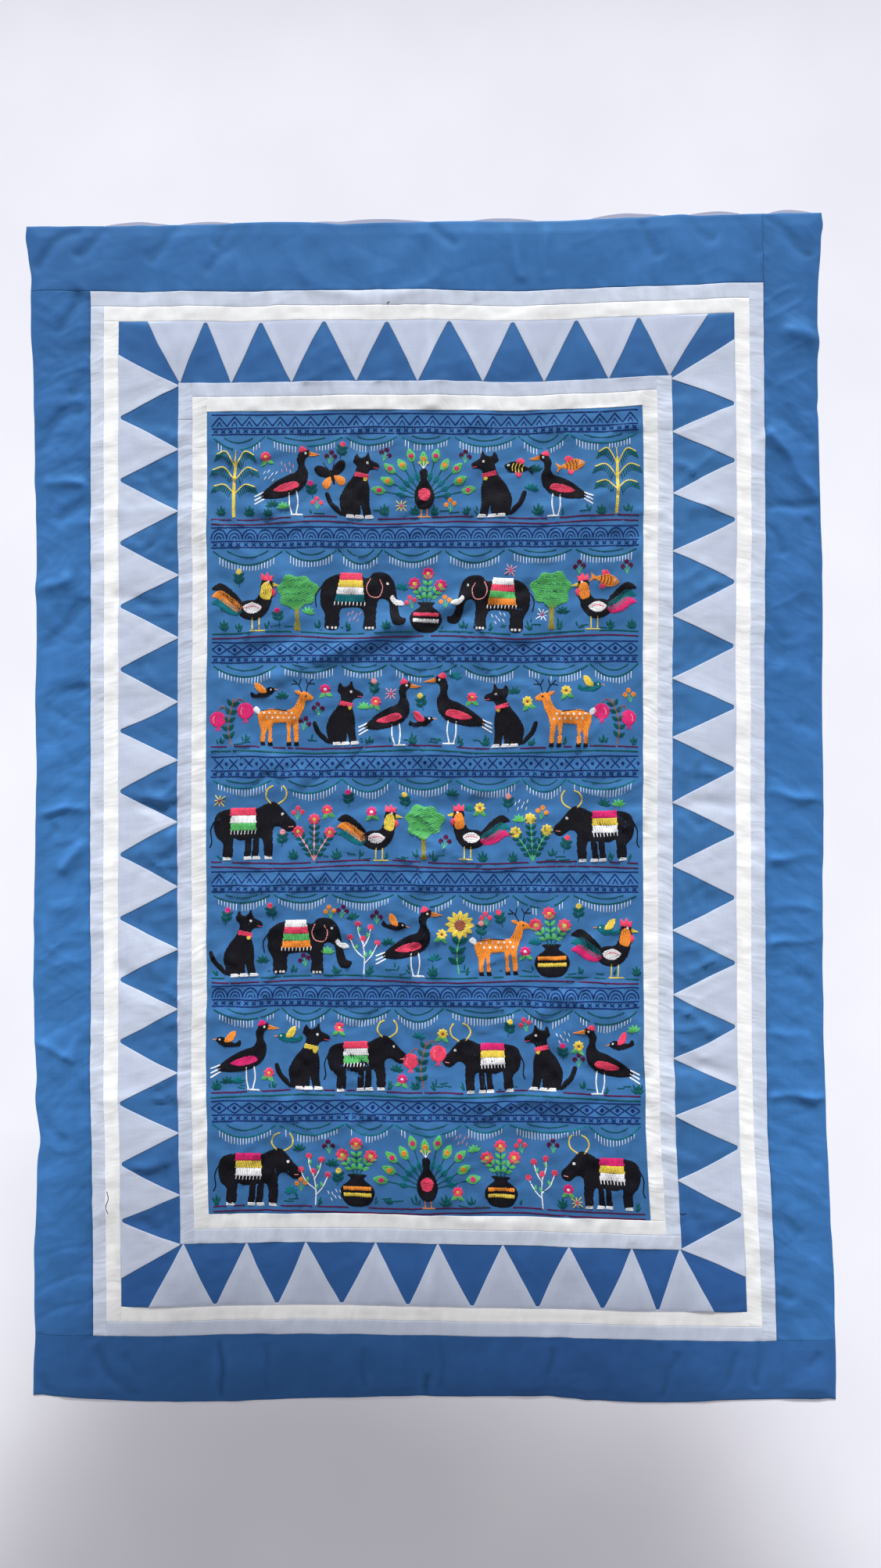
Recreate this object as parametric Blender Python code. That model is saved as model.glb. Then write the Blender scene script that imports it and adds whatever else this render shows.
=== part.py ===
"""Story cloth laid flat and seen from above: a blue ground whose plain middle is framed by
white and pale strips, a band of pale teeth, two more strips and a wide blue border, on a lining.

Units are metres. +X runs across the cloth, +Y towards its top edge and +Z up from the surface
it lies on. The origin is under the middle of the cloth, on that surface.
"""
import bisect
import math

import bpy
from mathutils import Vector
from mathutils.geometry import delaunay_2d_cdt

MM = 0.001

# The plain middle of the ground, before the cloth sways
PANEL_WIDTH = 530 * MM
PANEL_LENGTH = 975 * MM

# Rings round the panel, from the inside outwards, with the width in mm on each side
RINGS = (
    # name, left, right, bottom, top
    ("inner_white", 18, 18, 23, 18),
    ("inner_pale", 17, 18, 16, 17),
    ("band", 72, 77, 72, 74),
    ("outer_white", 18, 18, 24, 18),
    ("outer_pale", 16, 17, 15, 18),
    ("border", 66, 69, 76, 83),
)

# The side whose strip runs through each corner of a ring
CORNERS = {
    # ring: top left, top right, bottom right, bottom left
    "inner_white": ("left", "right", "bottom", "left"),
    "inner_pale": ("left", "right", "bottom", "left"),
    "outer_white": ("top", "right", "right", "left"),
    "outer_pale": ("top", "right", "right", "left"),
    "border": ("top", "right", "bottom", "bottom"),
}

SIDES = ("top", "right", "bottom", "left")

# How far upright lines stray towards +X, in mm, at nine even places from the top edge down
SWAY_X = (
    # name, then the nine places
    ("left_edge", (-13, -4, 1, 1, -1, -3, 1, -2, -5)),
    ("left_seams", (0, 0, 0, 0, -1, 0, 0, 3, 3)),
    ("right_seams", (-3, -2, 0, -1, -1, 0, 2, 10, 15)),
    ("right_edge", (-1, -7, -4, -1, 1, 0, 4, 11, 13)),
)

# How far level lines stray towards +Y, in mm, at nine even places from the left edge on
SWAY_Y = (
    # name, then the nine places
    ("bottom_edge", (12, -1, -4, 1, 2, 1, -5, -4, 3)),
    ("bottom_seams", (-1, -1, 0, 1, 0, -1, -5, -7, -8)),
    ("top_seams", (-2, -1, -1, 0, 1, 1, 4, 8, 10)),
    ("top_edge", (-5, -5, -2, 0, 0, 1, 5, 8, 12)),
)

# Teeth of each side's strip, in mm from the panel's middle: the place of every tip along
# the side, and where the strip's first and last teeth start and end
TEETH = (
    # side, start, tips, end
    ("top", -337, (-298, -236, -162, -84, -10, 69, 144, 222, 296), 343),
    ("bottom", -336, (-293, -216, -144, -59, 17, 96, 176, 253, 311), 351),
    ("left", 555, (518, 439, 363, 286, 210, 132, 61, -14, -92, -168, -241, -318, -391,
                   -465, -524), -565),
    ("right", 573, (527, 462, 388, 317, 239, 162, 90, 11, -66, -145, -223, -301, -370,
                    -447, -529), -562),
)
TOOTH_TIP = 1.6 * MM
NOTCH_TIP = 3.5 * MM
NOTCH_GAP = 2.4 * MM

# Folds, in mm from the panel's middle: both ends, how far the fold bows to its left, its
# half width and its height, which is negative for a trough
FOLDS = (
    # name, x0, y0, x1, y1, bow, width, height
    ("quarter_upper", -400, 366, 400, 370, 0, 11, 0.5),
    ("quarter_middle", -400, 6, 405, 11, 0, 11, -1.2),
    ("quarter_lower", -400, -349, 300, -347, 0, 11, 0.5),
    ("quarter_upright", 6, 640, 4, -640, 0, 11, 0.6),
    ("middle_a", -213, 189, 15, 292, 0, 13, -1.5),
    ("middle_b", -194, 160, 60, 262, 0, 14, 1.5),
    ("middle_c", -89, 178, 129, 273, 0, 11, -1.2),
    ("middle_d", -232, 121, -185, 74, 0, 12, -1.1),
    ("middle_e", -185, 74, -104, 72, 0, 11, -1.0),
    ("lower_a", -241, -240, -203, -188, 0, 12, -1.3),
    ("lower_b", -203, -188, -99, -160, 0, 12, -1.1),
    ("lower_c", 129, -278, 196, -316, 0, 13, -1.2),
    ("lower_d", 196, -316, 272, -318, 0, 12, -1.3),
    ("band_right", 300, -303, 385, -320, 0, 12, -1.2),
    ("band_left_a", -377, 264, -320, 249, 0, 12, -1.2),
    ("band_left_b", -377, -188, -320, -221, 0, 12, -1.1),
    ("corner_top_left", -422, 705, -476, 657, 6, 10, -1.6),
    ("left_a", -419, 629, -443, 577, 0, 10, -1.2),
    ("left_b", -409, 532, -428, 504, 0, 9, -1.2),
    ("left_c", -417, 491, -471, 437, 8, 10, -2.0),
    ("left_d", -460, 399, -409, 396, 0, 10, 1.8),
    ("left_e", -443, 353, -408, 377, 0, 9, -1.0),
    ("left_f", -471, 268, -427, 282, 0, 13, 2.4),
    ("left_g", -410, 254, -460, 197, 0, 13, -1.6),
    ("left_h", -462, 132, -412, 151, 0, 9, -1.4),
    ("left_i", -460, 130, -412, 104, 0, 9, -1.1),
    ("left_j", -473, -1, -408, 5, 0, 9, 1.4),
    ("left_k", -446, -20, -471, -46, 0, 9, -1.0),
    ("left_l", -417, -36, -441, -74, 0, 11, 1.6),
    ("left_m", -474, -275, -433, -299, 0, 9, 1.4),
    ("left_n", -471, -364, -438, -404, 0, 11, -1.0),
    ("corner_bottom_left", -469, -682, -446, -706, 0, 9, -1.2),
    ("corner_top_right", 419, 724, 471, 676, 6, 10, -1.5),
    ("right_a", 433, 582, 479, 575, 0, 16, 2.2),
    ("right_b", 414, 522, 473, 444, 8, 13, -2.0),
    ("right_c", 416, 465, 476, 377, 0, 11, 2.0),
    ("right_d", 462, 355, 478, 328, 0, 9, -1.2),
    ("right_e", 414, 24, 484, 12, 0, 9, 1.4),
    ("right_f", 416, -58, 476, -52, 0, 10, 1.4),
    ("right_g", 424, -112, 481, -120, 0, 9, 0.9),
    ("right_h", 416, -160, 483, -153, 0, 9, 1.3),
    ("right_i", 416, -267, 466, -275, 0, 9, 0.8),
    ("right_j", 419, -344, 486, -346, 0, 8, 1.8),
    ("right_k", 428, -481, 454, -514, 0, 10, -0.8),
    ("right_l", 414, 370, 481, 371, 0, 8, -1.3),
    ("top_a", -336, 669, -301, 707, 0, 10, -1.2),
    ("top_b", -254, 684, -238, 712, 0, 8, -1.2),
    ("top_c", -156, 655, 18, 650, 28, 13, 1.6),
    ("top_d", 9, 712, 37, 684, 0, 9, -1.0),
    ("top_e", 101, 712, 118, 646, 0, 9, 0.9),
    ("top_f", 262, 714, 284, 672, 0, 9, -1.3),
    ("top_g", 324, 719, 350, 692, 0, 9, -1.0),
    ("top_h", 379, 726, 408, 679, 0, 9, -1.2),
    ("bottom_a", -400, -650, -349, -707, 5, 10, -1.3),
    ("bottom_b", -248, -640, -248, -712, 0, 8, 1.2),
    ("bottom_c", 3, -679, 3, -713, 0, 8, 1.4),
    ("bottom_d", 259, -707, 354, -650, 0, 11, -1.0),
    ("bottom_e", 405, -639, 403, -692, 0, 9, 0.8),
)

# Where the lining shows past the top edge, in mm across from the panel's middle
LINING_PEEKS = (
    # start, end, reach
    (-393, -308, 4),
    (-303, -232, 3),
    (-142, 10, 4),
    (53, 139, 4),
    (196, 291, 5),
    (319, 386, 4),
    (414, 471, 4),
)
LINING_SET_BACK = 1.0 * MM

# Layers, from the surface up
THICKNESS = 1.0 * MM
LAYER_GAP = 0.3 * MM
FRONT_LEVEL = THICKNESS + LAYER_GAP
OVERLAY_LEVEL = FRONT_LEVEL + THICKNESS + LAYER_GAP
SEAM_GAP = 0.3 * MM

# Crowns between seams, which leave room under the front for the troughs
BORDER_CROWN = 2.0 * MM
BAND_CROWN = 1.3 * MM
PANEL_CROWN = 1.6 * MM
PANEL_EASE = 60 * MM

# Steps of the grids
GROUND_STEP = 37 * MM
BAND_STEP = 40 * MM
BORDER_STEP = 20 * MM
BORDER_ROWS = 4
CREASE_SIDE = 13 * MM
CREASE_COLUMNS = (5 * MM,)
CREASE_ROWS = (-348 * MM, 6 * MM, 368 * MM)
EDGE_STEP = 30 * MM


def stacked_rectangles():
    """Name each ring's outer rectangle as left, right, bottom, top."""
    left, right = -PANEL_WIDTH / 2, PANEL_WIDTH / 2
    bottom, top = -PANEL_LENGTH / 2, PANEL_LENGTH / 2
    rectangles = {"panel": (left, right, bottom, top)}
    for name, on_left, on_right, on_bottom, on_top in RINGS:
        left -= on_left * MM
        right += on_right * MM
        bottom -= on_bottom * MM
        top += on_top * MM
        rectangles[name] = (left, right, bottom, top)
    return rectangles


RECTANGLES = stacked_rectangles()
RING_NAMES = ["panel"] + [ring[0] for ring in RINGS]


def inside_of(ring):
    """Name the rectangle that a ring lies round."""
    return RECTANGLES[RING_NAMES[RING_NAMES.index(ring) - 1]]


def along(values, part):
    """Read an evenly spaced row smoothly, at a part of its length from 0 to 1."""
    last = len(values) - 1
    place = min(max(part, 0.0), 1.0) * last
    index = min(int(place), last - 1)
    t = place - index
    before = values[max(index - 1, 0)]
    start = values[index]
    end = values[index + 1]
    after = values[min(index + 2, last)]
    bend = 2 * before - 5 * start + 4 * end - after
    twist = 3 * start - before - 3 * end + after
    return 0.5 * (2 * start + (end - before) * t + bend * t * t + twist * t ** 3)


def between(stations, place):
    """Read a short list of (place, value) pairs in straight steps."""
    if place <= stations[0][0]:
        return stations[0][1]
    for (low, from_value), (high, to_value) in zip(stations, stations[1:]):
        if place <= high:
            share = (place - low) / (high - low)
            return from_value + share * (to_value - from_value)
    return stations[-1][1]


def sway(u, v):
    """How far the point (u, v) of the flat pattern strays in X and in Y."""
    left, right, bottom, top = RECTANGLES["border"]
    seam_left, seam_right, seam_bottom, seam_top = RECTANGLES["outer_pale"]
    panel_left, panel_right, panel_bottom, panel_top = RECTANGLES["panel"]
    down = (top - v) / (top - bottom)
    across = (u - left) / (right - left)
    rows_x = [along(values, down) * MM for _, values in SWAY_X]
    rows_y = [along(values, across) * MM for _, values in SWAY_Y]
    stations_x = (
        (left, rows_x[0]), (seam_left, rows_x[1]), (panel_left, rows_x[1]),
        (panel_right, rows_x[2]), (seam_right, rows_x[2]), (right, rows_x[3]),
    )
    stations_y = (
        (bottom, rows_y[0]), (seam_bottom, rows_y[1]), (panel_bottom, rows_y[1]),
        (panel_top, rows_y[2]), (seam_top, rows_y[2]), (top, rows_y[3]),
    )
    return between(stations_x, u), between(stations_y, v)


def pattern_place(x, y):
    """Find the point of the flat pattern that lies at (x, y)."""
    u, v = x, y
    for _ in range(3):
        stray_x, stray_y = sway(u, v)
        u, v = x - stray_x, y - stray_y
    return u, v


def fold_share(x, y, fold):
    """Height that one fold gives at (x, y)."""
    _, x0, y0, x1, y1, bow, width, height = fold
    dx, dy = (x1 - x0) * MM, (y1 - y0) * MM
    length = math.hypot(dx, dy)
    ax, ay = x - x0 * MM, y - y0 * MM
    run = (ax * dx + ay * dy) / length ** 2
    reach = width * MM / length
    if run < -reach or run > 1 + reach:
        return 0.0
    off = (ay * dx - ax * dy) / length - bow * MM * 4 * run * (1 - run)
    ends = min(1.0, (run + reach) / (2 * reach), (1 + reach - run) / (2 * reach))
    ends = ends * ends * (3 - 2 * ends)
    return height * MM * ends * math.exp(-(off / (width * MM)) ** 2)


def crown(u, v):
    """Rise of the cloth between its seams."""
    rise = 0.0
    for ring, height in (("border", BORDER_CROWN), ("band", BAND_CROWN)):
        outer, inner = RECTANGLES[ring], inside_of(ring)
        if not (outer[0] < u < outer[1] and outer[2] < v < outer[3]):
            continue
        shares = []
        for low, high, place in (
            (outer[0], inner[0], u), (inner[1], outer[1], u),
            (outer[2], inner[2], v), (inner[3], outer[3], v),
        ):
            if low < place < high:
                shares.append((place - low) / (high - low))
        if shares:
            rise += height * max(4 * share * (1 - share) for share in shares)
    left, right, bottom, top = RECTANGLES["panel"]
    to_seam = min(u - left, right - u, v - bottom, top - v)
    if to_seam > 0:
        rise += PANEL_CROWN * min(1.0, to_seam / PANEL_EASE)
    return rise


def laid(u, v):
    """Place the point (u, v) of the pattern on the cloth that lies on the surface."""
    stray_x, stray_y = sway(u, v)
    x, y = u + stray_x, v + stray_y
    height = crown(u, v) + sum(fold_share(x, y, fold) for fold in FOLDS)
    return x, y, max(height, 0.0)


def divided(low, high, step, fixed=()):
    """List lines from low to high, no more than a step apart, through the fixed ones."""
    stops = [low] + [place for place in sorted(fixed) if low < place < high] + [high]
    lines = [low]
    for start, end in zip(stops, stops[1:]):
        count = max(1, math.ceil((end - start) / step - 0.001))
        lines += [start + (end - start) * (index + 1) / count for index in range(count)]
    return lines


def ground_lines(axis, creases):
    """List the grid lines of the ground and the strips on it, along one axis."""
    low, high = 2 * axis, 2 * axis + 1
    fixed = [place + side for place in creases for side in (-CREASE_SIDE, 0, CREASE_SIDE)]
    panel = RECTANGLES["panel"]
    lines = divided(panel[low], panel[high], GROUND_STEP, fixed)
    for name in RING_NAMES[1:-1]:
        outer, inner = RECTANGLES[name], inside_of(name)
        before = divided(outer[low], inner[low], BAND_STEP)
        after = divided(inner[high], outer[high], BAND_STEP)
        lines = before[:-1] + lines + after[1:]
    return lines


U_LINES = ground_lines(0, CREASE_COLUMNS)
V_LINES = ground_lines(1, CREASE_ROWS)


def cell_of(lines, place):
    """Index of the grid step that holds a place."""
    return min(max(bisect.bisect_right(lines, place) - 1, 0), len(lines) - 2)


def draped(u, v):
    """Place (u, v) on the ground's own flat facets, so that layers on it stay parallel."""
    column, row = cell_of(U_LINES, u), cell_of(V_LINES, v)
    left, right = U_LINES[column], U_LINES[column + 1]
    low, high = V_LINES[row], V_LINES[row + 1]
    a, b = (u - left) / (right - left), (v - low) / (high - low)
    first = Vector(laid(left, low))
    last = Vector(laid(right, high))
    if a >= b:
        middle = Vector(laid(right, low))
        return first + (middle - first) * a + (last - middle) * b
    middle = Vector(laid(left, high))
    return first + (middle - first) * b + (last - middle) * a


def make_material(name, red, green, blue, roughness):
    """Plain cloth finish from a colour in 0 to 255."""
    material = bpy.data.materials.new(name)
    material.use_nodes = True
    shader = material.node_tree.nodes["Principled BSDF"]
    linear = [(part / 255) ** 2.2 for part in (red, green, blue)]
    shader.inputs["Base Color"].default_value = (*linear, 1.0)
    shader.inputs["Roughness"].default_value = roughness
    shader.inputs["Metallic"].default_value = 0.0
    return material


def closed_sheet(name, places, triangles, level, material):
    """Give a triangulated surface its thickness, with walls round its rim."""
    count = len(places)
    lower = [(x, y, level + z) for x, y, z in places]
    upper = [(x, y, level + THICKNESS + z) for x, y, z in places]
    faces = [tuple(count + index for index in face) for face in triangles]
    faces += [tuple(reversed(face)) for face in triangles]
    edges = set()
    for face in triangles:
        edges.update(zip(face, face[1:] + face[:1]))
    for start, end in sorted(edges):
        if (end, start) not in edges:
            faces.append((start, end, count + end))
            faces.append((start, count + end, count + start))
    mesh = bpy.data.meshes.new(name)
    mesh.from_pydata(lower + upper, [], faces)
    mesh.materials.append(material)
    mesh.validate()
    piece = bpy.data.objects.new(name, mesh)
    bpy.context.scene.collection.objects.link(piece)
    return piece


def grid_sheet(name, rectangle, u_lines, v_lines, place, level, material):
    """Make a strip or a ground: a grid inside a rectangle of the flat pattern."""
    left, right, bottom, top = rectangle
    half = SEAM_GAP / 2
    columns = [left + half] + [u for u in u_lines if left < u < right] + [right - half]
    rows = [bottom + half] + [v for v in v_lines if bottom < v < top] + [top - half]
    places = [place(u, v) for v in rows for u in columns]
    triangles = []
    for row in range(len(rows) - 1):
        for column in range(len(columns) - 1):
            corner = row * len(columns) + column
            above = corner + len(columns)
            triangles.append((corner, corner + 1, above + 1))
            triangles.append((corner, above + 1, above))
    return closed_sheet(name, places, triangles, level, material)


def strip_rectangle(ring, side):
    """Rectangle of one side's strip, as long as the corners that it runs through."""
    outer, inner = RECTANGLES[ring], inside_of(ring)
    left, right, bottom, top = outer
    corners = CORNERS[ring]
    if side in ("top", "bottom"):
        start, end = (0, 1) if side == "top" else (3, 2)
        left = outer[0] if corners[start] == side else inner[0]
        right = outer[1] if corners[end] == side else inner[1]
        bottom, top = (inner[3], outer[3]) if side == "top" else (outer[2], inner[2])
    else:
        start, end = (0, 3) if side == "left" else (1, 2)
        top = outer[3] if corners[start] == side else inner[3]
        bottom = outer[2] if corners[end] == side else inner[2]
        left, right = (outer[0], inner[0]) if side == "left" else (inner[1], outer[1])
    return left, right, bottom, top


def make_ring(ring, level, place, lines, material):
    """Make the four strips of a ring."""
    for side in SIDES:
        rectangle = strip_rectangle(ring, side)
        u_lines, v_lines = lines(rectangle)
        grid_sheet(f"{ring}_{side}", rectangle, u_lines, v_lines, place, level, material)


def shared_lines(_rectangle):
    """Grid lines of strips that follow the ground's own grid."""
    return U_LINES, V_LINES


def border_lines(rectangle):
    """Grid lines of a border strip: a few across it and many along it."""
    left, right, bottom, top = rectangle
    across, down = right - left, top - bottom
    if across > down:
        return divided(left, right, BORDER_STEP), divided(bottom, top, down / BORDER_ROWS)
    return divided(left, right, across / BORDER_ROWS), divided(bottom, top, BORDER_STEP)


def tooth_outline(side, start, tips, end):
    """Outline of one side's toothed strip in the flat pattern, from start to end."""
    outer, inner = RECTANGLES["band"], inside_of("band")
    level = side in ("top", "bottom")
    base = {"top": outer[3], "bottom": outer[2], "left": outer[0], "right": outer[1]}[side]
    tip = {"top": inner[3], "bottom": inner[2], "left": inner[0], "right": inner[1]}[side]
    inward = math.copysign(1, tip - base)
    onward = math.copysign(1, end - start)
    base += inward * SEAM_GAP / 2
    tip -= inward * SEAM_GAP

    def point(place, depth):
        if level:
            return pattern_place(place, depth)[0], depth
        return depth, pattern_place(depth, place)[1]

    outline = [point(start * MM, base)]
    for index, middle in enumerate(tips):
        if index:
            notch = (tips[index - 1] + middle) / 2 * MM
            half = onward * NOTCH_TIP / 2
            outline.append(point(notch - half, base + inward * NOTCH_GAP))
            outline.append(point(notch + half, base + inward * NOTCH_GAP))
        half = onward * TOOTH_TIP / 2
        outline.append(point(middle * MM - half, tip))
        outline.append(point(middle * MM + half, tip))
    outline.append(point(end * MM, base))
    return outline


def holds(outline, u, v):
    """True where (u, v) is inside an outline."""
    inside = False
    for (u0, v0), (u1, v1) in zip(outline, outline[1:] + outline[:1]):
        if (v0 > v) != (v1 > v) and u < u0 + (v - v0) * (u1 - u0) / (v1 - v0):
            inside = not inside
    return inside


def grid_net(outline):
    """Points and edges of the ground's facets that cover an outline."""
    columns = [cell_of(U_LINES, u) for u, _ in outline]
    rows = [cell_of(V_LINES, v) for _, v in outline]
    first_column, last_column = min(columns), max(columns) + 1
    first_row, last_row = min(rows), max(rows) + 1
    points, edges = [], []
    width = last_column - first_column + 1
    for row in range(first_row, last_row + 1):
        for column in range(first_column, last_column + 1):
            here = len(points)
            points.append(Vector((U_LINES[column], V_LINES[row])))
            if column < last_column:
                edges.append((here, here + 1))
            if row < last_row:
                edges.append((here, here + width))
            if column < last_column and row < last_row:
                edges.append((here, here + width + 1))
    return points, edges


def make_teeth(side, start, tips, end, material):
    """Make one toothed strip, whose facets lie exactly over the ground's."""
    outline = tooth_outline(side, start, tips, end)
    points, edges = grid_net(outline)
    first = len(points)
    points += [Vector(place) for place in outline]
    edges += [(first + index, first + (index + 1) % len(outline)) for index in range(len(outline))]
    found, _, faces, _, _, _ = delaunay_2d_cdt(points, edges, [], 0, 1e-7)
    triangles, used = [], {}
    for face in faces:
        corners = [found[index] for index in face]
        middle = (corners[0] + corners[1] + corners[2]) / 3
        if not holds(outline, middle.x, middle.y):
            continue
        turn = (corners[1] - corners[0]).cross(corners[2] - corners[0])
        order = face if turn > 0 else list(reversed(face))
        triangles.append(tuple(used.setdefault(index, len(used)) for index in order))
    places = [draped(*found[index]) for index in used]
    closed_sheet(f"teeth_{side}", places, triangles, OVERLAY_LEVEL, material)


def lining_outline():
    """Outline of the lining: just inside the front, and past it where it shows."""
    left, right, bottom, top = RECTANGLES["border"]
    inset = LINING_SET_BACK
    columns = divided(left + inset, right - inset, EDGE_STEP)
    rows = divided(bottom + inset, top - inset, EDGE_STEP)
    low_side = [laid(u, bottom + inset)[:2] for u in columns]
    right_side = [laid(right - inset, v)[:2] for v in rows]
    left_side = [laid(left + inset, v)[:2] for v in reversed(rows)]
    top_side = []
    for u in reversed(divided(left + inset, right - inset, EDGE_STEP / 2)):
        x, y, _ = laid(u, top)
        reach = -inset
        for start, end, peek in LINING_PEEKS:
            if start * MM < x < end * MM:
                part = (x - start * MM) / ((end - start) * MM)
                reach += (peek * MM + inset) * math.sin(math.pi * part)
        top_side.append((x, y + reach))
    return low_side[:-1] + right_side[:-1] + top_side[:-1] + left_side[:-1]


def make_lining(outline, material):
    """Make the lining, one flat slab on the surface."""
    count = len(outline)
    points = [(x, y, 0.0) for x, y in outline] + [(x, y, THICKNESS) for x, y in outline]
    faces = [tuple(reversed(range(count))), tuple(range(count, 2 * count))]
    for index in range(count):
        after = (index + 1) % count
        faces.append((index, after, count + after, count + index))
    mesh = bpy.data.meshes.new("lining")
    mesh.from_pydata(points, [], faces)
    mesh.materials.append(material)
    mesh.validate()
    piece = bpy.data.objects.new("lining", mesh)
    bpy.context.scene.collection.objects.link(piece)


def front_edge():
    """Points round the rims of the border strips, for the whole cloth's bounds."""
    points = []
    for side in SIDES:
        left, right, bottom, top = strip_rectangle("border", side)
        u_lines, v_lines = border_lines((left, right, bottom, top))
        half = SEAM_GAP / 2
        points += [laid(u, v)[:2] for u in u_lines for v in (bottom + half, top - half)]
        points += [laid(u, v)[:2] for v in v_lines for u in (left + half, right - half)]
    return points


def centre_all(outline):
    """Move every piece so that the origin is under the middle of the whole cloth."""
    edge = front_edge()
    xs = [x for x, _ in outline + edge]
    ys = [y for _, y in outline + edge]
    shift = Vector((-(min(xs) + max(xs)) / 2, -(min(ys) + max(ys)) / 2, 0.0))
    for piece in bpy.context.scene.objects:
        for vertex in piece.data.vertices:
            vertex.co += shift


def build():
    for item in list(bpy.data.objects):
        bpy.data.objects.remove(item, do_unlink=True)
    blue = make_material("border_blue", 60, 110, 172, 0.9)
    ground_blue = make_material("ground_blue", 62, 106, 162, 0.9)
    pale = make_material("pale_strip", 200, 208, 230, 0.9)
    white = make_material("white_strip", 241, 241, 243, 0.9)
    lining = make_material("lining", 168, 172, 196, 0.9)

    outline = lining_outline()
    make_lining(outline, lining)
    grid_sheet("ground", RECTANGLES["band"], U_LINES, V_LINES, draped, FRONT_LEVEL, ground_blue)
    make_ring("inner_white", OVERLAY_LEVEL, draped, shared_lines, white)
    make_ring("inner_pale", OVERLAY_LEVEL, draped, shared_lines, pale)
    for side, start, tips, end in TEETH:
        make_teeth(side, start, tips, end, pale)
    make_ring("outer_white", FRONT_LEVEL, draped, shared_lines, white)
    make_ring("outer_pale", FRONT_LEVEL, draped, shared_lines, pale)
    make_ring("border", FRONT_LEVEL, laid, border_lines, blue)
    centre_all(outline)


build()
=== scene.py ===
"""Looks of the story cloth: thin sewn sheets with their folds and puckers, stitched birds,
beasts, trees and flowers on the panel, a pale floor and soft light.

The cloth is worked out as part.py does it. Places on it are millimetres of its flat pattern,
from the middle of the panel: u runs across it and v towards its top edge. Meshes are in metres.
"""
import math

import bmesh
import bpy
import numpy as np
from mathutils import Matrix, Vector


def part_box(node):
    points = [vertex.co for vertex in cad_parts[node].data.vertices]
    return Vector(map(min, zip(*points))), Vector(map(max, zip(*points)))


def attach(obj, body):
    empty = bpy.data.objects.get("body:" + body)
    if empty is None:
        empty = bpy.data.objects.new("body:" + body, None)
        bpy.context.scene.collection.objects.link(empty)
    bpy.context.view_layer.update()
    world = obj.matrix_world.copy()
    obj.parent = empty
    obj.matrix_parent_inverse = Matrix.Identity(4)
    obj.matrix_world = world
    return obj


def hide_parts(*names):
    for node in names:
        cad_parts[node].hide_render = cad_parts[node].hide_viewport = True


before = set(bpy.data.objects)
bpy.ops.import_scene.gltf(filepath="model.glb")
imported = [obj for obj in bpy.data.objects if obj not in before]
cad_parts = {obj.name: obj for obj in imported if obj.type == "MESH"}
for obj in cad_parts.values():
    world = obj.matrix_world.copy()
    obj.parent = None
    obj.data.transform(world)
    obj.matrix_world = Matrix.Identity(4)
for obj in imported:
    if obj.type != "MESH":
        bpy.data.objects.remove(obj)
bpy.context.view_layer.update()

MM = 0.001

# The cloth's own sizes, as in part.py but for the strips below the panel, which follow the
# photograph more closely here
PANEL_WIDTH = 530
PANEL_LENGTH = 975

RINGS = (
    # name, left, right, bottom, top
    ("inner_white", 18, 18, 17.5, 18),
    ("inner_pale", 17, 18, 17.5, 17),
    ("band", 72, 77, 76, 74),
    ("outer_white", 18, 18, 18, 18),
    ("outer_pale", 16, 17, 17.5, 18),
    ("border", 66, 69, 79.5, 83),
)

CORNERS = {
    # ring: top left, top right, bottom right, bottom left
    "inner_white": ("left", "right", "bottom", "left"),
    "inner_pale": ("left", "right", "bottom", "left"),
    "outer_white": ("top", "right", "right", "left"),
    "outer_pale": ("top", "right", "right", "left"),
    "border": ("top", "right", "bottom", "bottom"),
}

SIDES = ("top", "right", "bottom", "left")
LEVEL_SIDES = ("top", "bottom")

# Where each side's edge stands in a rectangle, which is left, right, bottom, top
EDGES = {"left": 0, "right": 1, "bottom": 2, "top": 3}
CORNER_SIDES = (("top", "left"), ("top", "right"), ("bottom", "right"), ("bottom", "left"))

# How far upright lines stray towards +X, at nine even places from the top edge down: the left hem,
# the panel's left and its right side, and the right hem
SWAY_X = (
    (-13, -4, 1, 1, -1, -3, 1, -2, -5),
    (0, 0, 0, 0, -1, 0, 0, 3, 3),
    (-3, -2, 0, -1, -1, 0, 2, 10, 15),
    (-1, -7, -4, -1, 1, 0, 4, 11, 13),
)

# How far level lines stray towards +Y, at nine even places from the left edge on: the bottom hem,
# the panel's bottom and its top side, and the top hem
SWAY_Y = (
    (12, -1, -4, 1, 2, 1, -5, -4, 3),
    (-1, -1, 0, 1, 0, -1, -5, -7, -8),
    (-2, -1, -1, 0, 1, 1, 4, 8, 10),
    (-5, -5, -2, 0, 0, 1, 5, 8, 12),
)

# How far the level seams between the panel and the border stray towards +Y besides, at nine even
# places from the left edge on, and how far into the panel that reaches
SEAMS_BELOW = (0, -2.5, -1, -1, -3, -3.6, -3.2, -2.5, 0)
SEAMS_ABOVE = (0, -1.9, -1.5, -1.4, -1.8, -2.8, -0.9, -0.5, 0)
SEAM_STRAY_REACH = 90

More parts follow.
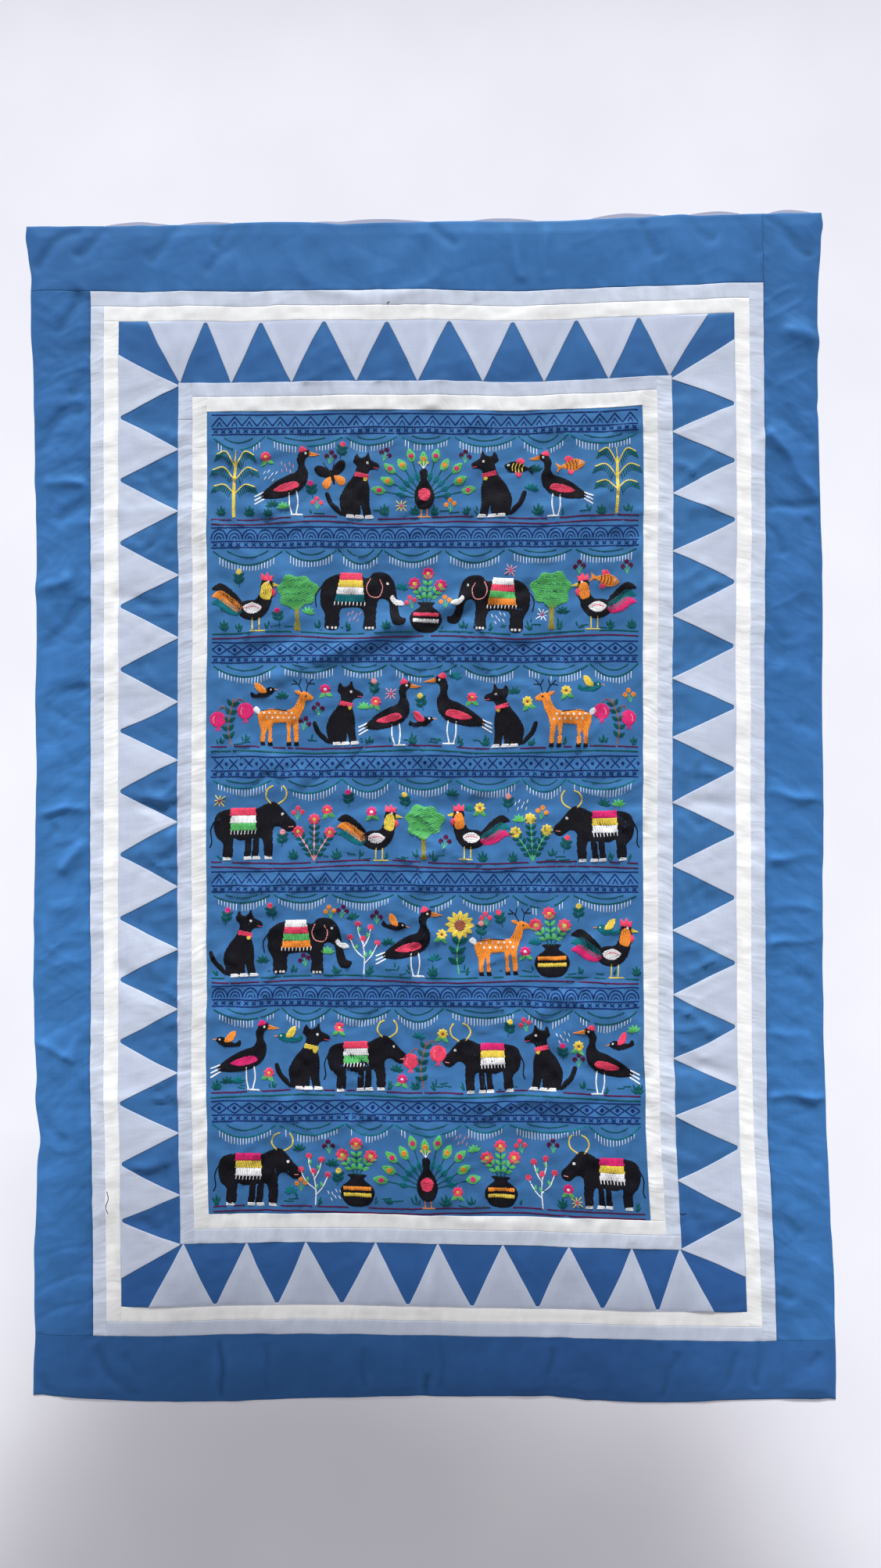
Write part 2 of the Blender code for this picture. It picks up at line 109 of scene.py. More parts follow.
# How far the hem strays outwards: at even places along it, from its top or left end, and in bulges
# and dents, each with its part of the side, its half width and its depth
HEM_STRAYS = {
    "left": ((-0.8, -0.3, 1.6, 1.8, 1.7, 1.8, 0.3, 1.4, 1.6, 0.4, 0.1, 0.1, -0.7),
             ((0.78, 18, -3.1), (0.045, 18, -2.8), (0.745, 18, 2.3), (0.945, 25, -1.9),
              (0.01, 13, 2.5), (0.87, 25, 1.7), (0.095, 25, 1.6), (0.22, 13, 1.5), (0.31, 13, 1.4),
              (0.46, 25, -1.0), (0.41, 25, 0.9), (0.615, 25, -0.9), (0.695, 18, 1.0))),
    "right": ((1.1, 0.5, 1.5, 1.7, 3.4, 0, 1.5, 0.7, 0.8, 1, 1.3, 3.7, 3.9),
              ((0.11, 13, 2.4), (0.055, 25, -1.3), (0.01, 9, 1.8), (0.165, 9, -1.4),
               (0.555, 25, -0.8), (0.295, 18, 1.0), (0.605, 25, 0.8))),
    "bottom": ((8.4, 3.3, -0.3, -0.8, 0.3, -0.2, -0.7, -0.8, -0.7, -2, 4.5),
               ((0.64, 13, -1.4), (0.055, 18, 1.0), (0.01, 9, -1.6), (0.48, 13, -1.2),
                (0.25, 13, 0.9), (0.99, 9, -1.2), (0.685, 9, 1.0))),
    "top": ((-0.4, 0.8, 0.1, 1.3, -1.4, 0.4, -0.1, -1, 1.4, 1.5, -0.3),
            ((0.385, 13, -1.4), (0.825, 13, 1.3), (0.15, 13, -1.2), (0.435, 18, 1.0),
             (0.775, 18, -1.0))),
}

# Teeth of each side's strip: where it starts, every tip along it, and where it ends
TEETH = (
    ("top", -337, (-298, -236, -162, -84, -10, 69, 144, 222, 296), 343),
    ("bottom", -336, (-293, -216, -144, -59, 17, 96, 176, 253, 311), 351),
    ("left", 555, (518, 439, 363, 286, 210, 132, 61, -14, -92, -168, -241, -318, -391,
                   -465, -524), -565),
    ("right", 573, (527, 462, 388, 317, 239, 162, 90, 11, -66, -145, -223, -301, -370,
                    -447, -529), -562),
)
# The width of a tooth's tip, and the notch between two teeth: its width and the cloth left beside it
TOOTH_TIP = 1.6
NOTCH_TIP = 3.5
NOTCH_GAP = 2.4

# The turned edge of a tooth, which looks a little paler: its width and how much paler
TOOTH_HEM = 10.5
TOOTH_HEM_SHARE = 0.22

# Folds: both ends, how far the fold bows to its right, its half width and its height
FOLDS = (
    # x0, y0, x1, y1, bow, width, height
    (-400, 366, 400, 370, 0, 11, 0.5),
    (-400, 6, 405, 11, 0, 11, -1.2),
    (-400, -349, 300, -347, 0, 11, 0.5),
    (6, 640, 4, -640, 0, 11, 0.6),
    (-213, 189, 15, 292, 0, 13, -1.5),
    (-194, 160, 60, 262, 0, 14, 1.5),
    (-89, 178, 129, 273, 0, 11, -1.2),
    (-232, 121, -185, 74, 0, 12, -1.1),
    (-185, 74, -104, 72, 0, 11, -1.0),
    (-241, -240, -203, -188, 0, 12, -1.3),
    (-203, -188, -99, -160, 0, 12, -1.1),
    (129, -278, 196, -316, 0, 13, -1.2),
    (196, -316, 272, -318, 0, 12, -1.3),
    (300, -303, 385, -320, 0, 12, -1.2),
    (-377, 264, -320, 249, 0, 12, -1.2),
    (-377, -188, -320, -221, 0, 12, -1.1),
    (-422, 705, -476, 657, 6, 10, -1.6),
    (-386, 707, -424, 672, 0, 9, -1.0),
    (-419, 629, -443, 577, 0, 10, -1.2),
    (-409, 532, -428, 504, 0, 9, -1.2),
    (-417, 491, -471, 437, 8, 10, -2.0),
    (-460, 399, -409, 396, 0, 10, 1.8),
    (-443, 353, -408, 377, 0, 9, -1.0),
    (-471, 268, -427, 282, 0, 13, 2.4),
    (-410, 254, -460, 197, 0, 13, -1.6),
    (-462, 132, -412, 151, 0, 9, -1.4),
    (-460, 130, -412, 104, 0, 9, -1.1),
    (-404, 40, -433, 40, 0, 8, -0.7),
    (-473, -1, -408, 5, 0, 9, 1.4),
    (-446, -20, -471, -46, 0, 9, -1.0),
    (-417, -36, -441, -74, 0, 11, 1.6),
    (-455, -117, -424, -113, 0, 12, 0.8),
    (-474, -275, -433, -299, 0, 9, 1.4),
    (-428, -304, -420, -271, 0, 8, 1.0),
    (-471, -364, -438, -404, 0, 11, -1.0),
    (-469, -682, -446, -706, 0, 9, -1.2),
    (419, 724, 471, 676, 6, 10, -1.5),
    (433, 582, 479, 575, 0, 16, 2.2),
    (414, 522, 473, 444, 8, 13, -2.0),
    (416, 465, 476, 377, 0, 11, 2.0),
    (462, 355, 478, 328, 0, 9, -1.2),
    (419, 342, 435, 311, 0, 8, -0.8),
    (467, 182, 478, 162, 0, 8, -0.7),
    (414, 175, 435, 171, 0, 9, 0.8),
    (452, 109, 476, 97, 0, 8, -0.7),
    (414, 24, 484, 12, 0, 9, 1.4),
    (416, -58, 476, -52, 0, 10, 1.4),
    (424, -112, 481, -120, 0, 9, 0.9),
    (416, -160, 483, -153, 0, 9, 1.3),
    (449, -201, 473, -203, 0, 8, -0.7),
    (416, -267, 466, -275, 0, 9, 0.8),
    (419, -344, 486, -346, 0, 8, 1.8),
    (443, -400, 478, -426, 0, 12, -0.7),
    (428, -481, 454, -514, 0, 10, -0.8),
    (431, -579, 445, -593, 0, 8, -0.8),
    (476, -658, 462, -673, 0, 8, -0.8),
    (414, 370, 481, 371, 0, 8, -1.3),
    (-336, 669, -301, 707, 0, 10, -1.2),
    (-267, 655, -216, 710, 0, 10, -1.0),
    (-254, 684, -238, 712, 0, 8, -1.2),
    (-156, 655, 18, 650, 28, 13, 0.7),
    (9, 712, 37, 684, 0, 9, -1.0),
    (101, 712, 118, 646, 0, 9, 0.9),
    (145, 712, 145, 646, 0, 10, 0.7),
    (262, 714, 284, 672, 0, 9, -1.3),
    (324, 719, 350, 692, 0, 9, -1.0),
    (379, 726, 408, 679, 0, 9, -1.2),
    (-400, -650, -349, -707, 5, 10, -1.3),
    (-365, -656, -343, -683, 0, 8, -0.8),
    (-248, -640, -246, -712, 0, 5, -1.7),
    (-194, -645, -192, -706, 0, 5, -0.8),
    (-76, -650, -74, -700, 0, 5, -0.7),
    (3, -683, 2, -713, 0, 5, -2.4),
    (20, -642, 21, -700, 0, 5, -0.8),
    (155, -650, 146, -706, 0, 6, -0.8),
    (307, -655, 285, -712, 0, 6, -0.9),
    (378, -655, 360, -706, 0, 6, -0.7),
    (405, -639, 402, -700, 0, 5, -0.8),
)
# How narrow and how high the folds are drawn, on the panel and off it, the deepest trough that stays
# clear of the layer below and how softly it levels out, and how far a fold wanders from its line
CREASE_SHARE = 0.45
CREASE_LIFT = 2.2
PANEL_CREASE_LIFT = 2.7
LOWEST = -0.9
LOWEST_EASE = 0.3
FOLD_WANDER = 1.6

# Lumps of the whole cloth, and those of the panel: how wide they are, and their seed
BROAD_LUMPS = (58, 16)
MIDDLE_LUMPS = (27, 17)
FINE_LUMPS = (12, 18)
PANEL_LUMPS = (24, 19)
BROAD_HEIGHT = 1.5
FINE_HEIGHT = 0.16

# Small strays of every line: how far they go and how wide their lumps are
SMALL_STRAYS = ((0.7, 55), (0.35, 19))

# Where the lining shows past the top edge: from, to and how far. Elsewhere it is set back.
LINING_PEEKS = (
    (-393, -308, 4),
    (-303, -232, 3),
    (-142, 10, 4),
    (53, 139, 4),
    (196, 291, 5),
    (319, 386, 4),
    (414, 471, 4),
)
LINING_SET_BACK = 1.0

# Heights of the layers' faces above the floor
LINING_TOP = 0.6
FRONT_TOP = 2.25
OVERLAY_TOP = 2.85
TOOTH_BASE_TOP = 2.5

# How high the cloth rises between its seams: on the border's upright and level sides, on the band,
# and on the panel, which is flat again at its ease from the seam
BORDER_CROWN = 2.0
LEVEL_CROWN = 0.35
BAND_CROWN = 1.3
PANEL_CROWN = 1.6
PANEL_EASE = 60

# Cloth that turns under at a rim: how wide the turn is, and how deep at each kind of rim
RIM = 1.4
SEAM_DROP = 0.4
HEM_DROP = 1.9
OVERLAY_DROP = 0.25

# How wide the cloth lies doubled along a seam
ALLOWANCE = 6.0

# Towards the hem the relief fades to a share of itself and the border sinks onto the lining
HEM_SHARE = 0.3
HEM_REACH = 15.0
HEM_SINK = 1.2
LEAST_GAP = 0.25

# Under the teeth the ground is smoother: how far past a tooth that reaches, and how soft its edge is
TOOTH_COVER_REACH = 10.0
TOOTH_COVER_EDGE = 8.0

# How much shows under the teeth, and how much more clear of them, of the wrinkles across the strips,
# of the crumples and of the middling lumps
SMOOTHED = ((0.4, 0.6), (0.15, 0.85), (0.3, 0.4))

# What the embroidery does to its cloth: it swells under thread and is drawn in and puckered round
# it, by puckers of a width and a seed
THREAD_SWELL = 0.7
THREAD_PULL = 1.2
THREAD_PUCKER = 1.6
THREAD_PUCKERS = (13, 31)

# Puckers along seams: ring, whether they lie outside it, their reach, height and seed
PUCKERS = (
    ("outer_pale", True, 9, 0.50, 11),
    ("band", False, 5, 0.20, 13),
    ("panel", False, 14, 0.38, 15),
)

# Steps of the grids, the cells that a hollow is measured over, and the depths that it stays between
RELIEF_STEP = 2.0
HOLLOW_CELLS = 3
HOLLOW_RANGE = (-2.5, 1.5)
BORDER_STEP = 2.7
STRIP_STEP = 3.2
GROUND_STEP = 4.2
TOOTH_STEP = 3.6

# The piecing joint in the left inner pale strip
JOINT_PLACE = 477


def stacked_rectangles():
    """Name each ring's outer rectangle as left, right, bottom, top."""
    left, right = -PANEL_WIDTH / 2, PANEL_WIDTH / 2
    bottom, top = -PANEL_LENGTH / 2, PANEL_LENGTH / 2
    rectangles = {"panel": (left, right, bottom, top)}
    for name, on_left, on_right, on_bottom, on_top in RINGS:
        left, right = left - on_left, right + on_right
        bottom, top = bottom - on_bottom, top + on_top
        rectangles[name] = (left, right, bottom, top)
    return rectangles


RECTANGLES = stacked_rectangles()
RING_NAMES = ["panel"] + [ring[0] for ring in RINGS]


def inside_of(ring):
    """Name the rectangle that a ring lies round."""
    return RECTANGLES[RING_NAMES[RING_NAMES.index(ring) - 1]]


def clamp(value):
    """Keep values between 0 and 1."""
    return np.clip(value, 0, 1)


def compass(angle):
    """Cosine and sine of an angle in degrees."""
    return math.cos(math.radians(angle)), math.sin(math.radians(angle))


def gaps_past(rectangle, u, v):
    """How far points lie past a rectangle's left, right, bottom and top edge, below 0 inside."""
    left, right, bottom, top = rectangle
    return np.stack((left - u, u - right, bottom - v, v - top))


def depth_inside(rectangle, u, v):
    """How far points lie inside a rectangle, below 0 outside."""
    return -gaps_past(rectangle, u, v).max(0)


def between_cells(grid, x, y, soft=False):
    """Read a grid between its points, at places in cells and wrapped round, more softly if asked."""
    column, row = np.floor(x).astype(int), np.floor(y).astype(int)
    a, b = x - column, y - row
    if soft:
        a, b = a * a * (3 - 2 * a), b * b * (3 - 2 * b)
    tall, wide = grid.shape
    low, high = (
        grid[level % tall, column % wide] * (1 - a) + grid[level % tall, (column + 1) % wide] * a
        for level in (row, row + 1)
    )
    return low * (1 - b) + high * b


def soft_noise(x, y, scale, seed):
    """Smooth noise from -1 to 1 whose lumps are about as wide as the scale."""
    lattice = np.random.default_rng(seed).uniform(-1, 1, (64, 64))
    return between_cells(lattice, np.asarray(x) / scale, np.asarray(y) / scale, True)


def spline(before, start, end, after, t):
    """Run smoothly from start to end, led by what comes before and after them."""
    bend = 2 * before - 5 * start + 4 * end - after
    twist = 3 * start - before - 3 * end + after
    return 0.5 * (2 * start + (end - before) * t + bend * t * t + twist * t ** 3)


def along(values, part):
    """Read an evenly spaced row smoothly, at parts of its length from 0 to 1."""
    values = np.asarray(values, float)
    last = len(values) - 1
    place = clamp(part) * last
    index = np.minimum(place.astype(int), last - 1)
    before, after = values[np.maximum(index - 1, 0)], values[np.minimum(index + 2, last)]
    return spline(before, values[index], values[index + 1], after, place - index)


def between_rows(rows, part, place, stations):
    """Blend four rows, read at a part of their length, by where a place lies between stations."""
    blend = np.interp(place, stations, (0, 1, 1, 2, 2, 3))
    index = np.minimum(blend.astype(int), 2)
    share = blend - index
    read = np.stack([along(row, part) for row in rows])
    picked = np.take_along_axis(read, index[None], 0)[0]
    after = np.take_along_axis(read, index[None] + 1, 0)[0]
    return picked * (1 - share) + after * share


def sway(u, v):
    """How far points of the flat pattern stray in X and in Y."""
    left, right, bottom, top = RECTANGLES["border"]
    seam = RECTANGLES["outer_pale"]
    panel = RECTANGLES["panel"]
    across, down = (u - left) / (right - left), (top - v) / (top - bottom)
    columns = (left, seam[0], panel[0], panel[1], seam[1], right)
    rows = (bottom, seam[2], panel[2], panel[3], seam[3], top)
    return between_rows(SWAY_X, down, u, columns), between_rows(SWAY_Y, across, v, rows)


def pattern_place(x, y):
    """Find the points of the flat pattern that lie at (x, y)."""
    u, v = x, y
    for _ in range(3):
        stray_x, stray_y = sway(u, v)
        u, v = x - stray_x, y - stray_y
    return u, v


def frame_shift():
    """How far the frame's origin is from the panel's middle, from where the ground lies."""
    low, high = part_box("ground")
    left, right, bottom, top = RECTANGLES["band"]
    u, v = np.meshgrid(np.linspace(left, right, 200), np.linspace(bottom, top, 300))
    stray_x, stray_y = sway(u, v)
    x, y = (u + stray_x) * MM, (v + stray_y) * MM
    shift_x = (low[0] + high[0]) / 2 - (x.min() + x.max()) / 2
    shift_y = (low[1] + high[1]) / 2 - (y.min() + y.max()) / 2
    return shift_x, shift_y


SHIFT_X, SHIFT_Y = frame_shift()


def hem_stray(u, v):
    """How far the hem strays in X and in Y, which fades to nothing at the border's seams."""
    outer, seam = RECTANGLES["border"], RECTANGLES["outer_pale"]
    stray = [np.zeros_like(u), np.zeros_like(u)]
    for index, (evenly, dents) in enumerate(HEM_STRAYS.values()):
        axis, way = index // 2, 2 * (index % 2) - 1
        share = clamp(((u, v)[axis] - seam[index]) / (outer[index] - seam[index]))
        if share.any():
            length = outer[3 - 2 * axis] - outer[2 - 2 * axis]
            run = (outer[3] - v, u - outer[0])[axis] / length
            out = along(evenly, run)
            for place, width, depth in dents:
                out = out + depth * np.exp(-((run - place) * length / width) ** 2)
            stray[axis] = stray[axis] + way * share * out
    return stray


def seam_stray(u, v):
    """How far the level seams stray in Y, which fades to nothing at the hem and in the panel."""
    left, right, bottom, top = RECTANGLES["border"]
    seam, panel = RECTANGLES["outer_pale"], RECTANGLES["panel"]
    across = (u - left) / (right - left)
    below = np.interp(v, (bottom, seam[2], panel[2], panel[2] + SEAM_STRAY_REACH), (0, 1, 1, 0))
    above = np.interp(v, (panel[3] - SEAM_STRAY_REACH, panel[3], seam[3], top), (0, 1, 1, 0))
    return below * along(SEAMS_BELOW, across) + above * along(SEAMS_ABOVE, across)


def lay(u, v, height):
    """Place points of the pattern, at heights in millimetres above the floor, in metres."""
    stray_x, stray_y = sway(u, v)
    hem_x, hem_y = hem_stray(u, v)
    stray_x, stray_y = stray_x + hem_x, stray_y + hem_y + seam_stray(u, v)
    for index, (far, wide) in enumerate(SMALL_STRAYS):
        stray_x = stray_x + far * soft_noise(u, v, wide, 1 + index)
        stray_y = stray_y + far * soft_noise(u, v, wide, 3 + index)
    return np.stack((
        (u + stray_x) * MM + SHIFT_X,
        (v + stray_y) * MM + SHIFT_Y,
        np.maximum(height, 0.05) * MM,
    ), axis=-1)


def crown(u, v):
    """Rise of the cloth between its seams."""
    rise = np.zeros_like(u)
    for ring, height, level in (("border", BORDER_CROWN, LEVEL_CROWN), ("band", BAND_CROWN, 1.0)):
        outer, inner = RECTANGLES[ring], inside_of(ring)
        share = np.zeros_like(u)
        for edge, (place, most) in enumerate(((u, 1.0), (u, 1.0), (v, level), (v, level))):
            low, high = sorted((outer[edge], inner[edge]))
            part = clamp((place - low) / (high - low))
            share = np.maximum(share, 4 * most * part * (1 - part))
        rise += np.where(depth_inside(outer, u, v) > 0, height * share, 0)
    return rise + PANEL_CROWN * clamp(depth_inside(RECTANGLES["panel"], u, v) / PANEL_EASE)


def fold_relief(x, y, index, fold):
    """Height that one fold gives: a soft crease that wanders and fades along its length."""
    x0, y0, x1, y1, bow, width, height = fold
    width = width * CREASE_SHARE
    dx, dy = x1 - x0, y1 - y0
    length = math.hypot(dx, dy)
    run = ((x - x0) * dx + (y - y0) * dy) / length ** 2
    off = ((x - x0) * dy - (y - y0) * dx) / length - bow * 4 * run * (1 - run)
    off = off + FOLD_WANDER * np.sin(run * length / 9 + index * 1.7)
    strength = 1 + 0.3 * np.sin(run * length / 14 + index * 2.9)
    reach = 1.4 * width / length
    ends = clamp(np.minimum(run + reach, 1 + reach - run) / (2 * reach))
    ends = ends * ends * (3 - 2 * ends)
    lift = PANEL_CREASE_LIFT if max(abs(x0), abs(x1)) < 280 and abs(y0) < 400 else CREASE_LIFT
    return lift * height * strength * ends / np.cosh(off / width)


def seam_puckers(u, v, ring, outward, reach, height, seed):
    """Short puckers that run square to a seam and fade away from it."""
    gaps = gaps_past(RECTANGLES[ring], u, v) * (1 if outward else -1)
    side = gaps.argmax(0) if outward else gaps.argmin(0)
    away = np.take_along_axis(gaps, side[None], 0)[0]
    run = np.where(side < 2, v, u)
    ripple = soft_noise(run, side * 50.0, 8, seed) + 0.6 * soft_noise(run, side * 50.0, 21, seed + 1)
    return height * ripple * np.where(away >= 0, np.exp(-np.maximum(away, 0) / reach), 0)


# Wrinkles across the strips, from sharp to broad: how they slant, how short they are, how wide they
# are and their seed. Each side has its own part of the noise.
CROSS_WRINKLES = ((0, 0.2, 5, 24), (0, 0.3, 8, 21), (0.35, 0.35, 19, 22), (-0.5, 0.6, 43, 23))
SIDE_SHIFT = 200.0

# How far past the panel the inner strips end, and where the outer ones lie
INNER_STRIPS_END = 36
OUTER_STRIPS = (107, 142)


def cross_wrinkles(u, v):
    """Small wrinkles that run across the strips, square to the side that they lie on."""
    gaps = gaps_past(RECTANGLES["panel"], u, v)
    ordered = np.sort(gaps, axis=0)
    side = gaps.argmax(0)
    away, run = ordered[3], np.where(side < 2, v, u)
    clear = clamp((ordered[3] - ordered[2]) / 30) * clamp(away / 6)
    sharp, fine, middling, broad = (
        soft_noise(run + slant * away, away * short + side * SIDE_SHIFT, wide, seed)
        for slant, short, wide, seed in CROSS_WRINKLES
    )
    on_inner = away < INNER_STRIPS_END
    on_outer = (away > OUTER_STRIPS[0]) & (away < OUTER_STRIPS[1])
    share = np.where(on_inner, 1.3, 0.9)
    crisp = np.where(on_inner, 1.0, np.where(on_outer, 0.7, 0.3))
    return clear * (crisp * (0.30 * sharp + 0.5 * fine) + share * (0.75 * middling + 0.9 * broad))


# Crumples: the way they run in degrees, how long and how wide they are, and their height; then how
# far they wander, in their own width, and how sharp their ridges are
CRUMPLES = (
    (24, 80, 21, 1.7),
    (-31, 70, 18, 1.5),
    (8, 46, 13, 0.9),
    (-62, 75, 20, 0.9),
    (74, 60, 16, 0.6),
)
CRUMPLE_WANDER = 0.35
CRUMPLE_SHARPNESS = 4


def crumples(u, v):
    """Soft ridges and troughs that cross each other, stronger here and weaker there."""
    total = np.zeros_like(u)
    for index, (turn, long, wide, height) in enumerate(CRUMPLES):
        c, s = compass(turn)
        run, off = u * c + v * s, v * c - u * s
        off = off + CRUMPLE_WANDER * wide * soft_noise(run, off, 31, 60 + index)
        lines = soft_noise(run * wide / long, off, wide, 40 + index)
        ridge = (1 - np.abs(lines)) ** CRUMPLE_SHARPNESS
        total += height * ridge * soft_noise(u, v, 1.1 * long, 50 + index)
    return total


# How much of the crumples each ring shows: on the left, on the right, below and above
CRUMPLE_SHARES = (
    ("border", 0.85, 0.78, 0.3, 0.36),
    ("outer_pale", 0.35, 0.35, 0.2, 0.3),
    ("band", 3.7, 2.7, 0.9, 0.7),
    ("inner_pale", 0.4, 0.4, 0.3, 0.3),
    ("panel", 2.0, 2.0, 2.0, 2.0),
)


def crumple_share(u, v):
    """How much of the crumples each cloth shows: much on the blue, little on the folded strips."""
    share = np.zeros_like(u)
    for ring, on_left, on_right, below, above in CRUMPLE_SHARES:
        rectangle = RECTANGLES[ring]
        blend = clamp(depth_inside(rectangle, u, v) / 8 + 0.5)
        inner = inside_of(ring) if ring != "panel" else rectangle
        low, high = clamp((inner[2] - v) / 16 + 0.5), clamp((v - inner[3]) / 16 + 0.5)
        aside = np.where(u < 0, on_left, on_right)
        value = aside + (below - aside) * low + (above - aside) * high
        share = share * (1 - blend) + value * blend
    return share


def flat_place(side, place):
    """Find where a place along a side's toothed strip lies on the flat pattern."""
    level = side in LEVEL_SIDES
    corner = RECTANGLES["band"][EDGES[side]]
    here = np.array([place, corner] if level else [corner, place], float)
    found = pattern_place(here[:1], here[1:])
    return float(found[0 if level else 1][0])


def tooth_stops(start, tips, end):
    """List where a strip's teeth meet, from its start to its end."""
    return [start] + [(a + b) / 2 for a, b in zip(tips, tips[1:])] + [end]


def tooth_cover(u, v):
    """How far, from 0 to 1, points lie under the teeth."""
    outer, inner = RECTANGLES["band"], inside_of("band")
    cover = np.zeros_like(u)
    for side, start, tips, end in TEETH:
        edge = EDGES[side]
        away, run = (v, u) if side in LEVEL_SIDES else (u, v)
        depth = (away - outer[edge]) / (inner[edge] - outer[edge])
        stops = tooth_stops(start, tips, end)
        for first, last, tip in zip(stops, stops[1:], tips):
            first, last, tip = (flat_place(side, place) for place in (first, last, tip))
            low, high = min(first, last), max(first, last)
            inside = np.minimum(run - low - (tip - low) * depth, high + (tip - high) * depth - run)
            share = clamp((inside + TOOTH_COVER_REACH) / TOOTH_COVER_EDGE)
            cover = np.maximum(cover, np.where((depth > -0.1) & (depth < 1.1), share, 0))
    return cover


def blurred(grid, cells):
    """Blur a grid softly over a number of cells each way."""
    for _ in range(2):
        for axis in (0, 1):
            grid = sum(np.roll(grid, step, axis) for step in range(-cells, cells + 1)) / (2 * cells + 1)
    return grid


def stitch_cover(us, vs):
    """How much thread lies on each cell of the relief's grid."""
    cover = np.zeros((len(vs), len(us)))
    parts = (0.1, 0.3, 0.5, 0.7, 0.9)
    for rows in map(np.array, stitches.values()):
        area = np.hypot(*(rows[:, 2:4] - rows[:, :2]).T) * rows[:, 4]
        for part in parts:
            place = rows[:, :2] * (1 - part) + rows[:, 2:4] * part
            column, level = np.round((place - (us[0], vs[0])) / RELIEF_STEP).astype(int).T
            np.add.at(cover, (level, column), area / len(parts) / RELIEF_STEP ** 2)
    return np.clip(cover, 0, 1.2)


def make_relief():
    """Work out the cloth's height above its layer on an even grid of the pattern."""
    left, right, bottom, top = RECTANGLES["border"]
    us = np.arange(left - 4, right + 6, RELIEF_STEP)
    vs = np.arange(bottom - 4, top + 6, RELIEF_STEP)
    u, v = np.meshgrid(us, vs)
    stray_x, stray_y = sway(u, v)
    x, y = u + stray_x, v + stray_y
    height = crown(u, v)
    for index, fold in enumerate(FOLDS):
        x0, y0, x1, y1, bow, width, _ = fold
        margin = 4 * width + abs(bow)
        near = (x > min(x0, x1) - margin) & (x < max(x0, x1) + margin)
        near &= (y > min(y0, y1) - margin) & (y < max(y0, y1) + margin)
        height[near] += fold_relief(x[near], y[near], index, fold)
    for settings in PUCKERS:
        height += seam_puckers(u, v, *settings)
    free = 1 - tooth_cover(u, v)
    wrinkled, crumpled, lumpy = (least + more * free for least, more in SMOOTHED)
    height += wrinkled * cross_wrinkles(u, v)
    height += crumpled * crumple_share(u, v) * crumples(u, v)
    height += BROAD_HEIGHT * soft_noise(u, v, *BROAD_LUMPS) + lumpy * soft_noise(u, v, *MIDDLE_LUMPS)
    height += FINE_HEIGHT * soft_noise(u, v, *FINE_LUMPS)
    thread = stitch_cover(us, vs)
    close, wide = blurred(thread, 1), blurred(thread, 4)
    pucker = THREAD_PUCKER * wide * soft_noise(u, v, *THREAD_PUCKERS)
    height += THREAD_SWELL * close - THREAD_PULL * wide + pucker
    on_panel = depth_inside(RECTANGLES["panel"], u, v) > 0
    height += np.where(on_panel, soft_noise(u, v, *PANEL_LUMPS), 0)
    height *= HEM_SHARE + (1 - HEM_SHARE) * clamp(hem_distance(u, v) / HEM_REACH)
    # How far the cloth lies below its surroundings, painted by the material as shade
    hollow = np.clip(height - blurred(height, HOLLOW_CELLS), *HOLLOW_RANGE)
    return us, vs, LOWEST + np.logaddexp(0, (height - LOWEST) / LOWEST_EASE) * LOWEST_EASE, hollow


def relief(u, v, kind=2):
    """Read the cloth's height above its layer, or with 3 how far it stands out, at points."""
    us, vs, heights = RELIEF[0], RELIEF[1], RELIEF[kind]
    column = np.clip((u - us[0]) / RELIEF_STEP, 0, len(us) - 1.001)
    row = np.clip((v - vs[0]) / RELIEF_STEP, 0, len(vs) - 1.001)
    return between_cells(heights, column, row)


def hem_distance(u, v):
    """How far points lie inside the cloth's outer hem."""
    return depth_inside(RECTANGLES["border"], u, v)


def rim_turn(distance, depth):
    """How far cloth drops at a distance from a rim where it turns under."""
    close = clamp(1 - distance / RIM)
    return depth * (1 - np.sqrt(1 - close * close))


# Materials

def toned(colour, factor=1.0, lift=0.0):
    """Turn a colour in 0 to 255 into Blender's linear one, darker or lighter by a factor."""
    parts = [part / 255 for part in colour]
    parts = [part / 12.92 if part < 0.04045 else ((part + 0.055) / 1.055) ** 2.4 for part in parts]
    return [min(part * factor + lift, 1.0) for part in parts] + [1.0]


class Value:
    """An output of a node. Sums with it, and with numbers, add maths nodes."""

    def __init__(self, nodes, socket):
        self.nodes = nodes
        self.socket = socket

    def do(self, operation, *others):
        return self.nodes.math(operation, self, *others)

    def __add__(self, other):
        return self.do("ADD", other)

    def __sub__(self, other):
        return self.do("SUBTRACT", other)

    def __rsub__(self, other):
        return self.nodes.math("SUBTRACT", other, self)

    def __mul__(self, other):
        return self.do("MULTIPLY", other)

    def __truediv__(self, other):
        return self.do("DIVIDE", other)


